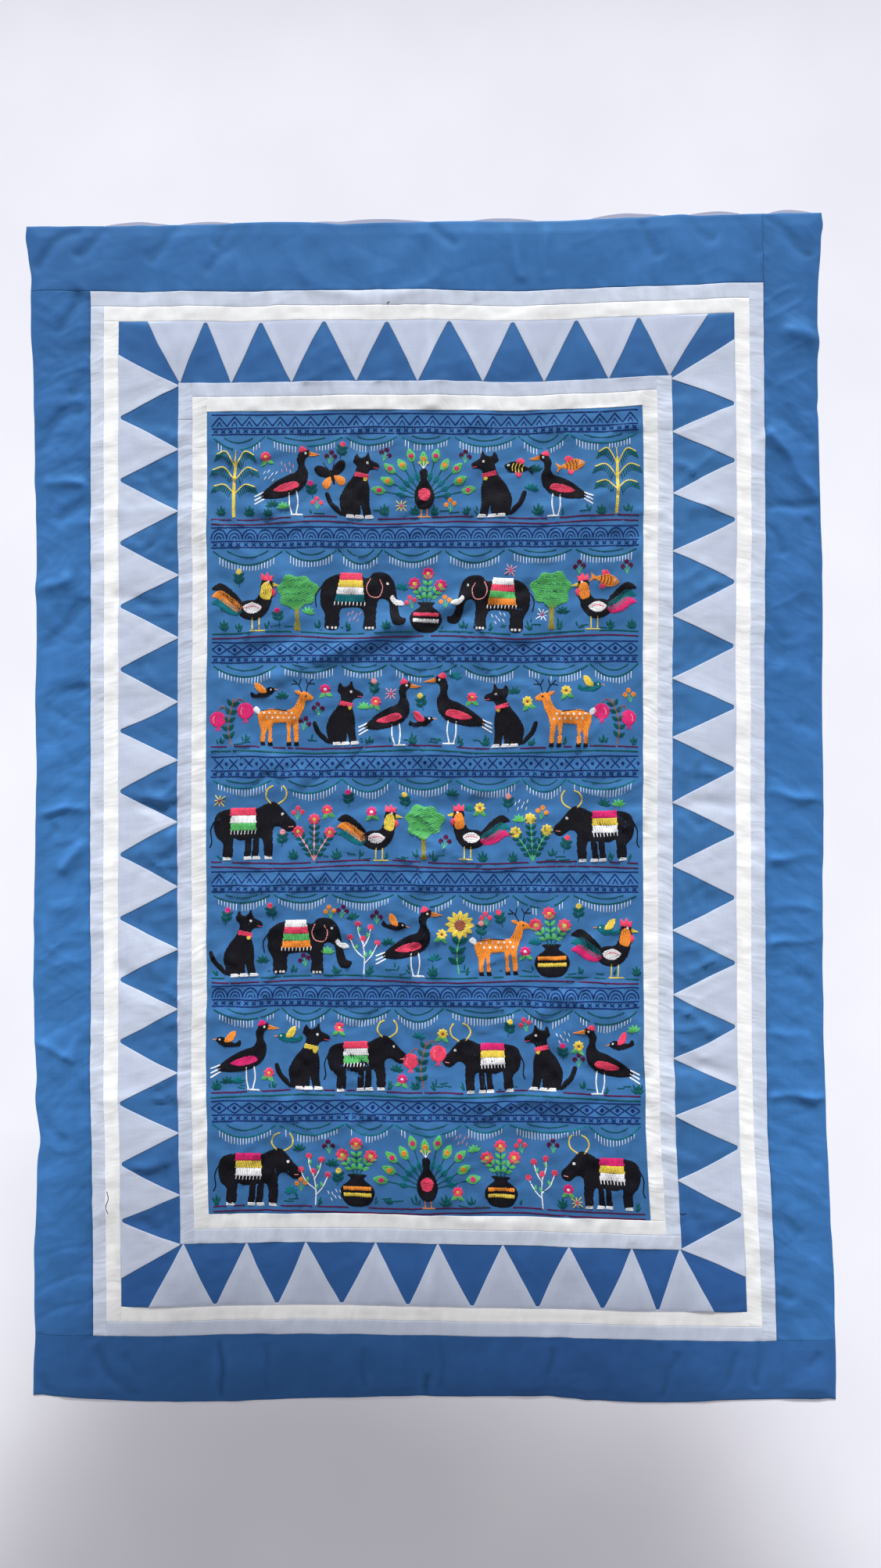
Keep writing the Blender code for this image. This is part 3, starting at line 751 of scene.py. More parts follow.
class Nodes:
    """Short ways to add and join the nodes of one material."""

    def __init__(self, name):
        self.material = bpy.data.materials.new(name)
        self.material.use_nodes = True
        self.tree = self.material.node_tree
        self.shader = self.tree.nodes["Principled BSDF"]

    def feed(self, node, inputs):
        """Join values to a node's inputs, or set them to constants."""
        for key, value in inputs.items():
            if isinstance(value, Value):
                self.tree.links.new(value.socket, node.inputs[key])
            else:
                node.inputs[key].default_value = value

    def add(self, kind, inputs, output=0, **settings):
        """Add a node, feed it and hand back one of its outputs."""
        node = self.tree.nodes.new("ShaderNode" + kind)
        for key, value in settings.items():
            setattr(node, key, value)
        self.feed(node, inputs)
        return Value(self, node.outputs[output])

    def math(self, operation, *values):
        return self.add("Math", dict(enumerate(values)), operation=operation)

    def place(self):
        """Where a point is on its object, and its X, Y and Z."""
        place = self.add("TexCoord", {}, "Object")
        return place, [self.add("SeparateXYZ", {0: place}, axis) for axis in range(3)]

    def noise(self, vector, scale, detail=2.0):
        return self.add("TexNoise", {"Vector": vector, "Scale": scale, "Detail": detail}, "Fac")

    def streaks(self, vector, stretch, detail=2.0):
        """Noise that is finer or coarser along each axis."""
        stretched = self.add("VectorMath", {0: vector, 1: stretch}, operation="MULTIPLY")
        return self.noise(stretched, 1.0, detail)

    def mix(self, share, first, second):
        """Mix two colours."""
        return self.add("Mix", {0: share, 6: first, 7: second}, 2, data_type="RGBA")

    def dim(self, colour, share):
        """Make a colour darker or lighter."""
        return self.add("VectorMath", {0: colour, "Scale": share}, operation="SCALE")

    def attribute(self, name, output="Fac"):
        return self.add("Attribute", {}, output, attribute_name=name)

    def bump(self, inputs):
        """Bend the shader's normal."""
        bent = self.add("Bump", inputs)
        self.feed(self.shader, {"Normal": bent})
        return bent


# The weave's pitch, how deep it and a thread's twist are, and the tint of what blue cotton reflects
WEAVE_PITCH = 0.55 * MM
WEAVE_DEPTH = 0.06 * MM
TWIST_DEPTH = 0.10 * MM
BLUE_GLINT = (0.2, 0.8, 1.0)

# The cotton's unevenness: how fine its slubs are each way and its stains, what slubs, stains and the
# weave add to its tone, and the range that the tone spans in its first tone and in its second
SLUB_STRETCHES = ((900, 14, 1), (14, 900, 1))
STAIN_SCALE = 11.0
SLUB_TONE = 0.55
STAIN_TONE = 0.9
WEAVE_TONE = 0.10
SINGLE_RANGE = (0.72, 1.28)
SECOND_TONE_RANGE = (0.80, 1.20)
SHEEN_ROUGHNESS = 0.45

# Threads: the range of their shades, how fine their twist is and how rough they are, then the sum of
# a colour under which they count as dark, and the gloss and the sheen of dark and of other ones
THREAD_RANGE = (0.74, 1.24)
TWIST_SCALE = 0.45
THREAD_ROUGHNESS = 0.58
DARK_SUM = 240
DARK_LOOK = (0.10, 0.0)
BRIGHT_LOOK = (0.30, 0.10)

# Wrinkles that run across a strip: how close they are along it, across it and from side to side,
# how deep they are, and how much painted shade and highlight they and the folds' hollows get
FINE_WRINKLES = (1 / 5.5, 1 / 40, 1.0)
WIDE_WRINKLES = (1 / 10, 1 / 60, 1.0)
WRINKLE_DEPTH = 0.25 * MM
WRINKLE_SHADE = 0.30
HOLLOW_SHADE = 0.13

# Crisp creases among them: how deep they are beside the others, and how narrow
CREASE_DEPTH = 0.2
CREASE_SHARPNESS = 11.0


def cloth_material(name, colour, second_tone_and_shade, variation, sheen, roughness=0.86, gloss=0.25, glint=(1, 1, 1)):
    """Woven cotton: slubs, stains, a second tone, partly painted shade, and painted shade in hollows."""
    nodes = Nodes(name)
    place, (x, y, _) = nodes.place()
    turn = math.pi / WEAVE_PITCH
    weave = (x * turn).do("SINE") * (y * turn).do("SINE")
    slubs, more_slubs = (nodes.streaks(place, stretch) for stretch in SLUB_STRETCHES)
    slubs = slubs + more_slubs
    stains = nodes.noise(place, STAIN_SCALE, 3.0)
    tone = (slubs - 1.0) * SLUB_TONE + (stains - 0.5) * STAIN_TONE + weave * WEAVE_TONE
    share = tone * variation + 0.5
    woven = nodes.mix(share, *(toned(colour, factor) for factor in SINGLE_RANGE))
    second_toned = nodes.mix(share, *(toned(second_tone_and_shade, factor) for factor in SECOND_TONE_RANGE))
    # Second tone: doubled cloth, each strip side's tone, and painted shade low on borders and ground
    cloth = nodes.mix(nodes.attribute("second_tone_and_shade"), woven, second_toned)

    lie = nodes.attribute("along", "Vector")
    fine, wide = nodes.streaks(lie, FINE_WRINKLES, 1.0), nodes.streaks(lie, WIDE_WRINKLES, 1.0)
    crease = (1.0 - (wide - 0.5).do("ABSOLUTE") * CREASE_SHARPNESS).do("MAXIMUM", 0.0) * CREASE_DEPTH
    wrinkles = (fine + wide - (crease + 1.0)) * nodes.attribute("wrinkled")
    # Painted shade: the base colour is darker in fold hollows and wrinkle troughs, lighter on ridges
    shade = nodes.attribute("hollow") * HOLLOW_SHADE + wrinkles * WRINKLE_SHADE
    creased = nodes.bump({"Height": wrinkles, "Strength": 1.0, "Distance": WRINKLE_DEPTH})
    woof = weave * 0.5 + slubs * 0.9
    nodes.bump({"Height": woof, "Strength": 1.0, "Distance": WEAVE_DEPTH, "Normal": creased})
    nodes.feed(nodes.shader, {
        "Base Color": nodes.dim(cloth, shade + 1.0), "Roughness": roughness,
        "Specular IOR Level": gloss, "Specular Tint": (*glint, 1.0),
        "Sheen Weight": sheen, "Sheen Roughness": SHEEN_ROUGHNESS, "Sheen Tint": (*glint, 1.0),
    })
    return nodes.material


def thread_material(name, colour):
    """Two-ply cotton floss: a soft gloss, a shade for each stitch, and its twist along it."""
    nodes = Nodes(name)
    darkest, palest = THREAD_RANGE
    base = nodes.mix(nodes.attribute("shade"), toned(colour, darkest), toned(colour, palest, 0.004))
    lie = nodes.add("UVMap", {}, uv_map="UVMap")
    wave = {"Vector": lie, "Scale": TWIST_SCALE, "Distortion": 1.0}
    twist = nodes.add("TexWave", wave, "Fac", bands_direction="DIAGONAL")
    nodes.bump({"Height": twist, "Strength": 0.8, "Distance": TWIST_DEPTH})
    gloss, sheen = DARK_LOOK if sum(colour) < DARK_SUM else BRIGHT_LOOK
    nodes.feed(nodes.shader, {
        "Base Color": base, "Roughness": THREAD_ROUGHNESS,
        "Specular IOR Level": gloss, "Sheen Weight": sheen,
    })
    return nodes.material


# Meshes

def new_object(name, data):
    """Link a new object into the scene."""
    thing = bpy.data.objects.new(name, data)
    bpy.context.scene.collection.objects.link(thing)
    return thing


def new_mesh(name, points, faces, material):
    """Make an object from lists of points and faces."""
    mesh = bpy.data.meshes.new(name)
    mesh.from_pydata(points, [], faces)
    mesh.materials.append(material)
    return new_object(name, mesh)


def new_piece(name, points, faces, material, values, uvs=None):
    """Make a smooth piece from arrays, with values for each point, and a UV for each if given."""
    piece = new_mesh(name, points.tolist(), faces.tolist(), material)
    mesh = piece.data
    for key, numbers in values.items():
        numbers = np.asarray(numbers, np.float32)
        is_vector = numbers.ndim == 2
        layer = mesh.attributes.new(key, "FLOAT_VECTOR" if is_vector else "FLOAT", "POINT")
        layer.data.foreach_set("vector" if is_vector else "value", numbers.ravel())
    if uvs is not None:
        layer = mesh.uv_layers.new(name="UVMap")
        layer.data.foreach_set("uv", uvs[faces.ravel()].astype(np.float32).ravel())
    mesh.shade_smooth()
    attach(piece, "root")
    return piece


def declare(node, width, length, area=None):
    """Hide the CAD part that a laid sheet stands for; its flat size is not kept."""
    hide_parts(node)
    width * MM
    length * MM


def grid_faces(rows, columns):
    """Quads of a grid whose points run row by row."""
    corner = (np.arange(rows - 1)[:, None] * columns + np.arange(columns - 1)).ravel()
    return np.stack((corner, corner + 1, corner + columns + 1, corner + columns), axis=1)


def rim_lines(low, high, step):
    """Grid lines from rim to rim, close together where the cloth turns under."""
    count = max(2, math.ceil((high - low - 2 * RIM) / step) + 1)
    turned = np.array((0, 0.12, 0.45)) * RIM
    return np.concatenate((low + turned, np.linspace(low + RIM, high - RIM, count), high - turned[::-1]))


def strip_rectangle(ring, side):
    """Rectangle of one side's strip, as long as the corners that it runs through."""
    inner, rectangle = inside_of(ring), list(RECTANGLES[ring])
    edge = EDGES[side]
    rectangle[edge ^ 1] = inner[edge]
    for owner, sides in zip(CORNERS[ring], CORNER_SIDES):
        if side in sides and owner != side:
            rectangle[EDGES[owner]] = inner[EDGES[owner]]
    return rectangle


# How much of the darker of its two tones a border's cloth has, and of the lighter one a strip's
# On the bottom border and the left border's lower end the darker tone is largely painted shade
BORDER_TONE_AND_SHADE = {
    # strip: places along it, each with its share
    "border_top": ((-430, 0.66), (-330, 0.47), (-90, 0.5), (50, 0.34), (330, 0.32), (410, 0.42)),
    "border_right": ((-600, 0.2), (-480, 0.05), (-90, 0.05), (60, 0.16), (200, 0.33), (480, 0.42)),
    "border_bottom": ((-100, 0.72), (20, 0.82), (120, 1.0), (210, 1.0), (320, 0.8), (400, 0.72)),
    "border_left": ((-640, 0.48), (-560, 0.3), (-460, 0.12), (-200, 0.02), (60, 0.02), (200, 0.18),
                    (390, 0.24), (500, 0.43), (590, 0.5)),
}
STRIP_TONES = {"inner_white": (0.1, 0.1, 0.2, 0.1), "inner_pale": (0.45, 0.85, 0.75, 0.4),
               "outer_white": (1.0, 1.0, 1.0, 1.0), "outer_pale": (0.75, 0.8, 0.5, 0.8)}
TEETH_TONES = (0.05, 0.3, 0.05, 0.32)
ALLOWANCE_TONE = 0.12

# The ground's darker tone past the panel, from its bottom edge to its top edge, and more on its left
# Below the panel this darker tone is painted shade
GROUND_TONE_AND_SHADE = ((-540, 1.0), (-470, 0.55), (-360, 0.1), (400, 0.1), (490, 0.4), (540, 0.75))
LEFT_TONE = 0.24

# How wrinkled each kind of strip is, and how much more so right at its inner seam
WRINKLED = {"inner_white": (1.05, 0.9), "inner_pale": (1.15, 0.8), "outer_white": (0.6, 0.4),
            "outer_pale": (0.8, 0.6), "border": (1.1, 0.9), "teeth": (0.3, 0.0)}
WRINKLED_LEVEL = 0.27

# The border's creases are wider apart and wander more
BORDER_SPREAD = 0.45
BORDER_WANDER = 7.0
SEAM_REACH = 7.0

# The painted shade along a border's seams: its width, and how deep a hollow it paints
SEAM_SHADE_WIDTH = 1.7
SEAM_PAINTED_SHADE = 2.2


def outside_panel(u, v):
    """Tell the tone of the ground: darker past the panel and above it, with painted shade below it."""
    past = gaps_past(RECTANGLES["inner_white"], u, v).max(0)
    tone = np.interp(v, *zip(*GROUND_TONE_AND_SHADE))
    tone = tone + LEFT_TONE * clamp(-u / 60) * (1 - tone)
    return clamp(past / ALLOWANCE + 0.5) * tone


def wrinkle_values(name, u, v):
    """Where points lie along and across their strip, and how wrinkled and how hollow they are."""
    ring, _, side = name.rpartition("_")
    values = {"hollow": relief(u, v, 3)}
    if side in SIDES:
        level = side in LEVEL_SIDES
        run, across = (u, v) if level else (v, u)
        away = np.abs(across - inside_of("band" if ring == "teeth" else ring)[EDGES[side]])
        bent = run + 4.5 * soft_noise(u, v, 24, 71) + (0.4 if level else 0.25) * away
        if ring == "border":
            bent = BORDER_SPREAD * (bent + 0.3 * away + BORDER_WANDER * soft_noise(u, v, 38, 72))
        values["along"] = np.stack((bent, across, np.full_like(u, 37.0 * SIDES.index(side))), axis=1)
        share, at_seam = WRINKLED[ring]
        wrinkled = share + at_seam * np.exp(-away / SEAM_REACH)
        values["wrinkled"] = wrinkled * (WRINKLED_LEVEL if level else 1)
    return values


def lay_rectangle(name, rectangle, level, drops, step, cotton, joint=None):
    left, right, bottom, top = rectangle
    us, vs = rim_lines(left, right, step), rim_lines(bottom, top, step)
    if joint is not None:
        near = np.array([-1, -0.5, -0.2, 0, 0.2, 0.5, 1]) * RIM + joint
        vs = np.sort(np.concatenate((vs[np.abs(vs - joint) > 1.5 * RIM], near)))
    u, v = (grid.ravel() for grid in np.meshgrid(us, vs))
    gaps = -gaps_past(rectangle, u, v)
    turn = np.max([rim_turn(gap, drop) for gap, drop in zip(gaps, drops)], axis=0)
    if joint is not None:
        turn = np.maximum(turn, rim_turn(np.abs(v - joint), SEAM_DROP))
    height = level + relief(u, v)
    values = wrinkle_values(name, u, v)
    ring, _, side = name.rpartition("_")
    if name == "ground":
        values["second_tone_and_shade"] = outside_panel(u, v)
    elif ring == "border":
        # A border's darker tone, painted shade on the bottom border and low on the left one
        values["second_tone_and_shade"] = np.interp(u if side in LEVEL_SIDES else v, *zip(*BORDER_TONE_AND_SHADE[name]))
        to_hem = hem_distance(u, v)
        # Painted shade: a dark line along the border's seams
        at_seam = clamp(1 - gaps.min(0) / SEAM_SHADE_WIDTH) * (to_hem > SEAM_SHADE_WIDTH)
        values["hollow"] = values["hollow"] - SEAM_PAINTED_SHADE * at_seam
        sink = HEM_SINK * clamp(1 - to_hem / HEM_REACH)
        height = np.maximum(height - sink, LINING_TOP + LEAST_GAP)
    else:
        across = gaps[:2].min(0) if right - left < top - bottom else gaps[2:].min(0)
        tone = STRIP_TONES[ring][SIDES.index(side)]
        values["second_tone_and_shade"] = tone + ALLOWANCE_TONE * clamp(1 - across / ALLOWANCE)
    faces = grid_faces(len(vs), len(us))
    piece = new_piece(name, lay(u, v, height - turn), faces, cottons[cotton], values)
    declare(name, right - left, top - bottom)


def lay_ring(ring, level, inner_drop, outer_drop, step, cotton, rests_on):
    """Lay the four strips of a ring."""
    outer = RECTANGLES[ring]
    for side in SIDES:
        rectangle = strip_rectangle(ring, side)
        drops = [outer_drop if abs(rectangle[i] - outer[i]) < 0.1 else inner_drop for i in range(4)]
        joint = JOINT_PLACE if (ring, side) == ("inner_pale", "left") else None
        lay_rectangle(f"{ring}_{side}", rectangle, level, drops, step, cotton, joint)


def distance_to(path, u, v):
    """Distance from points to an open path."""
    start, end = path[:-1], path[1:]
    step = end - start
    length = np.maximum((step ** 2).sum(1), 1e-9)
    out_u, out_v = u[:, None] - start[:, 0], v[:, None] - start[:, 1]
    share = clamp((out_u * step[:, 0] + out_v * step[:, 1]) / length)
    return np.hypot(out_u - share * step[:, 0], out_v - share * step[:, 1]).min(1)


def edge_run(root, tip, depths, reach, bulge, has_notch):
    """Places of a tooth's edge at its depths: a round notch if any, then a slightly bent slant."""
    gap = NOTCH_GAP if has_notch else 0
    side = math.copysign(NOTCH_TIP / 2, tip - root) if has_notch else 0
    part = clamp((depths - gap) / (reach - gap))
    opened = side * np.sqrt(clamp(depths - gap))
    return root + opened + (tip - root - side) * part + bulge * 4 * part * (1 - part)


def tooth_points(side, roots, tip, notches, bulges):
    """Grid of one tooth: pattern places and how far each is from the tooth's cut edge."""
    base, far = RECTANGLES["band"][EDGES[side]], inside_of("band")[EDGES[side]]
    reach = abs(far - base) - 0.3
    inward = math.copysign(1, far - base)
    depths = np.concatenate((
        (0, NOTCH_GAP / 2, NOTCH_GAP, 2.46, 2.6, 2.9, 3.4),
        np.arange(3.4 + TOOTH_STEP / 2, reach - 2, TOOTH_STEP),
        (reach - 1.2, reach - 0.4, reach),
    ))
    lows, highs = [
        edge_run(root, tip + sign * TOOTH_TIP / 2, depths, reach, bulge, notch)
        for root, sign, bulge, notch in zip(roots, (-1, 1), bulges, notches)
    ]
    width = (highs - lows)[:, None]
    close = np.array([0, 0.12, 0.45, 1.0]) * RIM
    near = np.minimum(close, width * np.array([0, 0.1, 0.2, 0.3]))
    inner_share = np.linspace(0, 1, 15)[1:-1]
    middle = near[:, 3:4] + (width - 2 * near[:, 3:4]) * inner_share
    offsets = np.concatenate((near, middle, width - near[:, ::-1]), axis=1)
    run = lows[:, None] + offsets
    deep = np.repeat(depths[:, None], run.shape[1], axis=1)
    paths = [
        np.stack((edge, depths), axis=1)[depths >= (NOTCH_GAP if notch else 0)]
        for edge, notch in zip((lows, highs), notches)
    ]
    run, deep = run.ravel(), deep.ravel()
    away = np.minimum(*(distance_to(path, run, deep) for path in paths))
    away = np.minimum(away, reach - deep)
    across = base + inward * deep
    u, v = (run, across) if side in LEVEL_SIDES else (across, run)
    return (u, v, deep, away), offsets.shape


def lay_teeth(side, start, tips, end):
    """Lay one toothed strip as a sheet of joined teeth."""
    stops = tooth_stops(start, tips, end)
    rng = np.random.default_rng(len(side))
    sheets, faces, flat_area, count = [], [], 0.0, 0
    rising = sorted(zip(stops, stops[1:], tips), key=lambda row: row[2])
    slants = rng.uniform(-0.9, 0.9, (len(rising), 2))
    for (first, last, tip), bulges in zip(rising, slants):
        roots = sorted((first, last))
        notches = [root not in (start, end) for root in roots]
        sheet, shape = tooth_points(
            side, [flat_place(side, root) for root in roots], flat_place(side, tip), notches, bulges)
        sheets.append(np.stack(sheet))
        quads = grid_faces(*shape) + count
        faces.append(quads[:, ::-1] if side in ("top", "right") else quads)
        count += sheet[0].size
        flat_area += abs(last - first) * sheet[2].max() / 2
    u, v, deep, away = np.concatenate(sheets, axis=1)
    top = TOOTH_BASE_TOP + (OVERLAY_TOP - TOOTH_BASE_TOP) * clamp(deep / 4)
    height = top + relief(u, v) - rim_turn(away, OVERLAY_DROP)
    name = f"teeth_{side}"
    values = wrinkle_values(name, u, v)
    values["second_tone_and_shade"] = TOOTH_HEM_SHARE * clamp((TOOTH_HEM - away) / 3.5 + 0.5)
    values["second_tone_and_shade"] += TEETH_TONES[SIDES.index(side)]
    piece = new_piece(name, lay(u, v, height), np.concatenate(faces), cottons["pale_strip"], values)
    mesh = bmesh.new()
    mesh.from_mesh(piece.data)
    bmesh.ops.remove_doubles(mesh, verts=mesh.verts, dist=0.01 * MM)
    mesh.to_mesh(piece.data)
    mesh.free()
    declare(name, abs(end - start), deep.max(), flat_area * MM * MM)


def lining_outline():
    """Rim of the lining: just inside the front, and past it where it shows."""
    left, right, bottom, top = RECTANGLES["border"]
    inset = LINING_SET_BACK
    across = np.arange(left + inset, right - inset, 7.0)
    up = np.arange(bottom + inset, top - inset, 7.0)
    x = across + sway(across, np.full_like(across, top))[0]
    reach = np.full_like(across, -inset)
    for start, end, peek in LINING_PEEKS:
        part = clamp((x - start) / (end - start))
        reach += (peek + inset) * np.sin(np.pi * part) ** 0.7
    left_rim, right_rim = np.full_like(up, left + inset), np.full_like(up, right - inset)
    us = np.concatenate((across, right_rim, across[::-1], left_rim))
    vs = np.concatenate((np.full_like(across, bottom + inset), up, (top + reach)[::-1], up[::-1]))
    return us, vs


def lay_lining():
    """Lay the lining as one thin closed sheet with a rounded rim."""
    us, vs = lining_outline()
    side_u, side_v = np.sign(us - us.mean()), np.sign(vs - vs.mean())
    loops = []
    for inset, height in ((0.5, 0.0), (0.0, 0.2), (0.0, 0.4), (0.6, LINING_TOP)):
        loop = lay(us - inset * side_u, vs - inset * side_v, np.zeros_like(us))
        loop[:, 2] = height * MM
        loops.append(loop)
    count = len(us)
    faces = [list(range(count))[::-1], list(range(3 * count, 4 * count))]
    for low in (0, count, 2 * count):
        for index in range(low, low + count):
            after = low + (index + 1 - low) % count
            faces.append([index, after, after + count, index + count])
    piece = new_mesh("lining_cloth", np.concatenate(loops).tolist(), faces, cottons["lining_cotton"])
    piece.data.attributes.new("second_tone_and_shade", "FLOAT", "POINT")
    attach(piece, "root")
    left, right, bottom, top = RECTANGLES["border"]
    declare("lining", right - left, top - bottom)


# Stitches

THREADS = {
    # name: red, green, blue
    "black": (17, 17, 25),
    "navy": (14, 40, 104),
    "dark_green": (10, 82, 84),
    "teal": (12, 106, 118),
    "bright_green": (84, 180, 98),
    "olive": (138, 130, 44),
    "yellow": (226, 198, 72),
    "orange": (232, 136, 40),
    "brown": (146, 78, 52),
    "hot_pink": (230, 62, 98),
    "magenta": (212, 22, 108),
    "salmon": (242, 150, 150),
    "white": (240, 238, 246),
    "maroon": (84, 22, 66),
}
# How far rows of filling stitches are apart, how wide and how long they are, how long the stitches
# of a line are, and how much higher each layer of thread lies
FILL_PITCH = 0.95
FILL_WIDTH = 1.2
LONG_STITCH = 8.0
LINE_STEP = 3.1
LAYER_RISE = 0.35

# A pointed leaf: along it and across it, in its own length and width
LEAF = ((0, 0), (0.3, 0.42), (0.65, 0.40), (1, 0), (0.65, -0.40), (0.3, -0.42))

# Every stitch by its colour, and the chance that makes the hand unsteady
stitches = {name: [] for name in THREADS}
hand = np.random.default_rng(2027)


def curve(points, closed, steps=6):
    """Draw a smooth line through points."""
    points = np.asarray(points, float)
    if len(points) < 3:
        return points
    if closed:
        ring = np.concatenate((points[-1:], points, points[:2]))
    else:
        ring = np.concatenate((2 * points[:1] - points[1:2], points, 2 * points[-1:] - points[-2:-1]))
    t = np.linspace(0, 1, steps, endpoint=False)[:, None]
    runs = [spline(*around, t) for around in zip(ring, ring[1:], ring[2:], ring[3:])]
    return np.concatenate(runs if closed else runs + [points[-1:]])


def run_of(path):
    """How far along a path each of its points lies."""
    return np.concatenate(([0], np.cumsum(np.hypot(*np.diff(path, axis=0).T))))


def points_at(path, run, places):
    """Points of a path at places along it."""
    return np.stack([np.interp(places, run, column) for column in path.T], axis=-1)


class Pen:
    """Stitches one motif in its own millimetres, with y up, from its place on the panel."""

    def __init__(self, u, v, size=1.0, facing=1, turn=0.0):
        self.origin = np.array((u, v), float)
        self.size = size
        self.facing = facing
        self.turn = math.radians(turn)

    def put(self, points):
        points = np.asarray(points, float) * self.size
        points = points * (self.facing, 1)
        c, s = math.cos(self.turn), math.sin(self.turn)
        return points @ np.array(((c, s), (-s, c))) + self.origin

    def line(self, colour, points, width=1.6, smooth=True, layer=0, step=LINE_STEP):
        """Sew a line in stem stitch: short stitches, each a little over the last."""
        path = self.put(curve(points, False) if smooth else points)
        run = run_of(path)
        count = max(1, round(run[-1] / step))
        places = points_at(path, run, np.linspace(0, run[-1], count + 1))
        slip = 0.12 * width
        for start, end in zip(places, places[1:]):
            way = (end - start) / max(np.hypot(*(end - start)), 1e-6)
            side = np.array((-way[1], way[0])) * slip
            start = start - way * 0.35 + side + hand.normal(0, 0.07, 2)
            end = end + way * 0.35 - side + hand.normal(0, 0.07, 2)
            stitches[colour].append((*start, *end, width, layer))

    def bar(self, colour, points, width=1.6, layer=0, step=LINE_STEP):
        """Sew a line with sharp corners."""
        self.line(colour, points, width, False, layer, step)

    def fill(self, colour, outline, lean=0.0, smooth=True, layer=0):
        """Fill an outline with rows of long stitches that lean as given, in degrees."""
        rim = self.put(curve(outline, True) if smooth else outline)
        angle = math.radians(lean)
        if self.facing < 0:
            angle = math.pi - angle
        angle += self.turn
        way = np.array((math.cos(angle), math.sin(angle)))
        side = np.array((-way[1], way[0]))
        a, b = rim @ way, rim @ side
        a_next, b_next = np.roll(a, -1), np.roll(b, -1)
        rows = np.arange(b.min() + FILL_PITCH * 0.4, b.max(), FILL_PITCH)
        for index, level in enumerate(rows):
            cut = (b > level) != (b_next > level)
            share = (level - b[cut]) / (b_next[cut] - b[cut])
            crossings = np.sort(a[cut] + share * (a_next[cut] - a[cut]))
            offset = index % 3 / 3 * LONG_STITCH
            for low, high in zip(crossings[::2], crossings[1::2]):
                if high - low < 0.5:
                    continue
                first = math.floor(low / LONG_STITCH) * LONG_STITCH + offset
                stops = first + LONG_STITCH * np.arange(0, (high - low) / LONG_STITCH + 2)
                stops = stops + hand.normal(0, 0.5, len(stops))
                stops = [low, *(stop for stop in stops if low + 2 < stop < high - 2), high]
                for start, end in zip(stops, stops[1:]):
                    here = way * (start - 0.25 + hand.normal(0, 0.12)) + side * level
                    there = way * (end + 0.25 + hand.normal(0, 0.12)) + side * level
                    tilt = side * hand.normal(0, 0.08)
                    stitches[colour].append((*(here + tilt), *(there - tilt), FILL_WIDTH, layer))

    def patch(self, colour, outline, lean=0.0, layer=0):
        """Fill an outline with sharp corners."""
        self.fill(colour, outline, lean, False, layer)

    def dot(self, colour, x, y, radius, lean=0.0, layer=0):
        """Fill a disc."""
        angles = np.linspace(0, 2 * math.pi, 14, endpoint=False)
        ring = np.stack((x + radius * np.cos(angles), y + radius * np.sin(angles)), axis=1)
        self.patch(colour, ring, lean, layer)

    def leaf(self, colour, x, y, angle, length, width, layer=0):
        """Fill a pointed leaf that grows from (x, y) at an angle, its stitches along it."""
        c, s = compass(angle)
        ring = [(x + a * length * c - b * width * s, y + a * length * s + b * width * c) for a, b in LEAF]
        self.fill(colour, ring, angle, layer=layer)


def tuft(pen, colour="dark_green"):
    """A tuft of grass."""
    for angle, length in ((35, 8), (62, 11), (88, 13), (115, 11), (146, 8)):
        c, s = compass(angle)
        pen.bar(colour, ((2 * c, 0), (length * c, length * s)), 1.9, step=5)
        pen.bar(colour, ((3 * c + 1, 0), (length * 0.7 * c + 1.5, length * 0.8 * s)), 1.6, step=5)


def blossom(pen, x, y, radius, colour, heart="yellow"):
    """A round flower: a ring of short petals round a small heart."""
    for index in range(8):
        angle = 45 * index
        c, s = compass(angle)
        pen.leaf(colour, x + 0.25 * radius * c, y + 0.25 * radius * s, angle, 0.85 * radius, 0.75 * radius)
    pen.dot(heart, x, y, 0.28 * radius, layer=1)


def leafy_stem(pen, points, stem="brown", leaves="dark_green", size=8.0, every=7.0):
    """A stem with pairs of leaves along it."""
    pen.line(stem, points, 1.7)
    path = curve(points, False)
    run = run_of(path)
    for place in np.arange(every, run[-1], every):
        x, y = points_at(path, run, place)
        ahead_x, ahead_y = points_at(path, run, min(place + 1, run[-1]))
        way = math.degrees(math.atan2(ahead_y - y, ahead_x - x))
        for side in (-1, 1):
            pen.leaf(leaves, x, y, way + side * 48, size, 0.5 * size)


def flower_bush(pen, colour="hot_pink", stem="salmon"):
    """Three flowers on forked stems with dark leaves."""
    for x, y in ((-17, 32), (1, 45), (18, 30)):
        leafy_stem(pen, ((0, 0), (0.35 * x, 0.42 * y), (x, y)), stem)
        blossom(pen, x, y + 2, 6.0, colour)


def sunflower(pen, petal="yellow", heart="brown"):
    """One large round flower on a leafy stem."""
    leafy_stem(pen, ((0, 0), (-2, 18), (0, 36)), "bright_green", "dark_green", 11, 10)
    for index in range(12):
        angle = 30 * index
        c, s = compass(angle)
        pen.leaf(petal, 5 * c, 48 + 5 * s, angle, 9, 5)
    pen.dot(heart, 0, 48, 5.2, 30)


def round_tree(pen, crown_colour="bright_green", trunk="olive"):
    """A lumpy round crown on a forked trunk."""
    pen.patch(trunk, ((-3, 0), (3.5, 0), (2, 12), (2, 26), (-2, 26), (-2, 12)), 90)
    angles = np.linspace(0, 2 * math.pi, 36, endpoint=False)
    radius = 17 + 1.6 * np.sin(7 * angles) + 1.1 * np.sin(3 * angles + 1)
    ring = np.stack((1.15 * radius * np.cos(angles), 40 + radius * np.sin(angles)), axis=1)
    pen.patch(crown_colour, ring, 25)
    for row in range(4):
        for column in range(-2, 3):
            x, y = 6.5 * column + 3 * (row % 2), 30 + 7 * row
            if math.hypot(x / 1.15, y - 40) < 13:
                pen.line("dark_green", ((x - 2.4, y), (x, y + 2.0), (x + 2.4, y)), 0.9, layer=1)


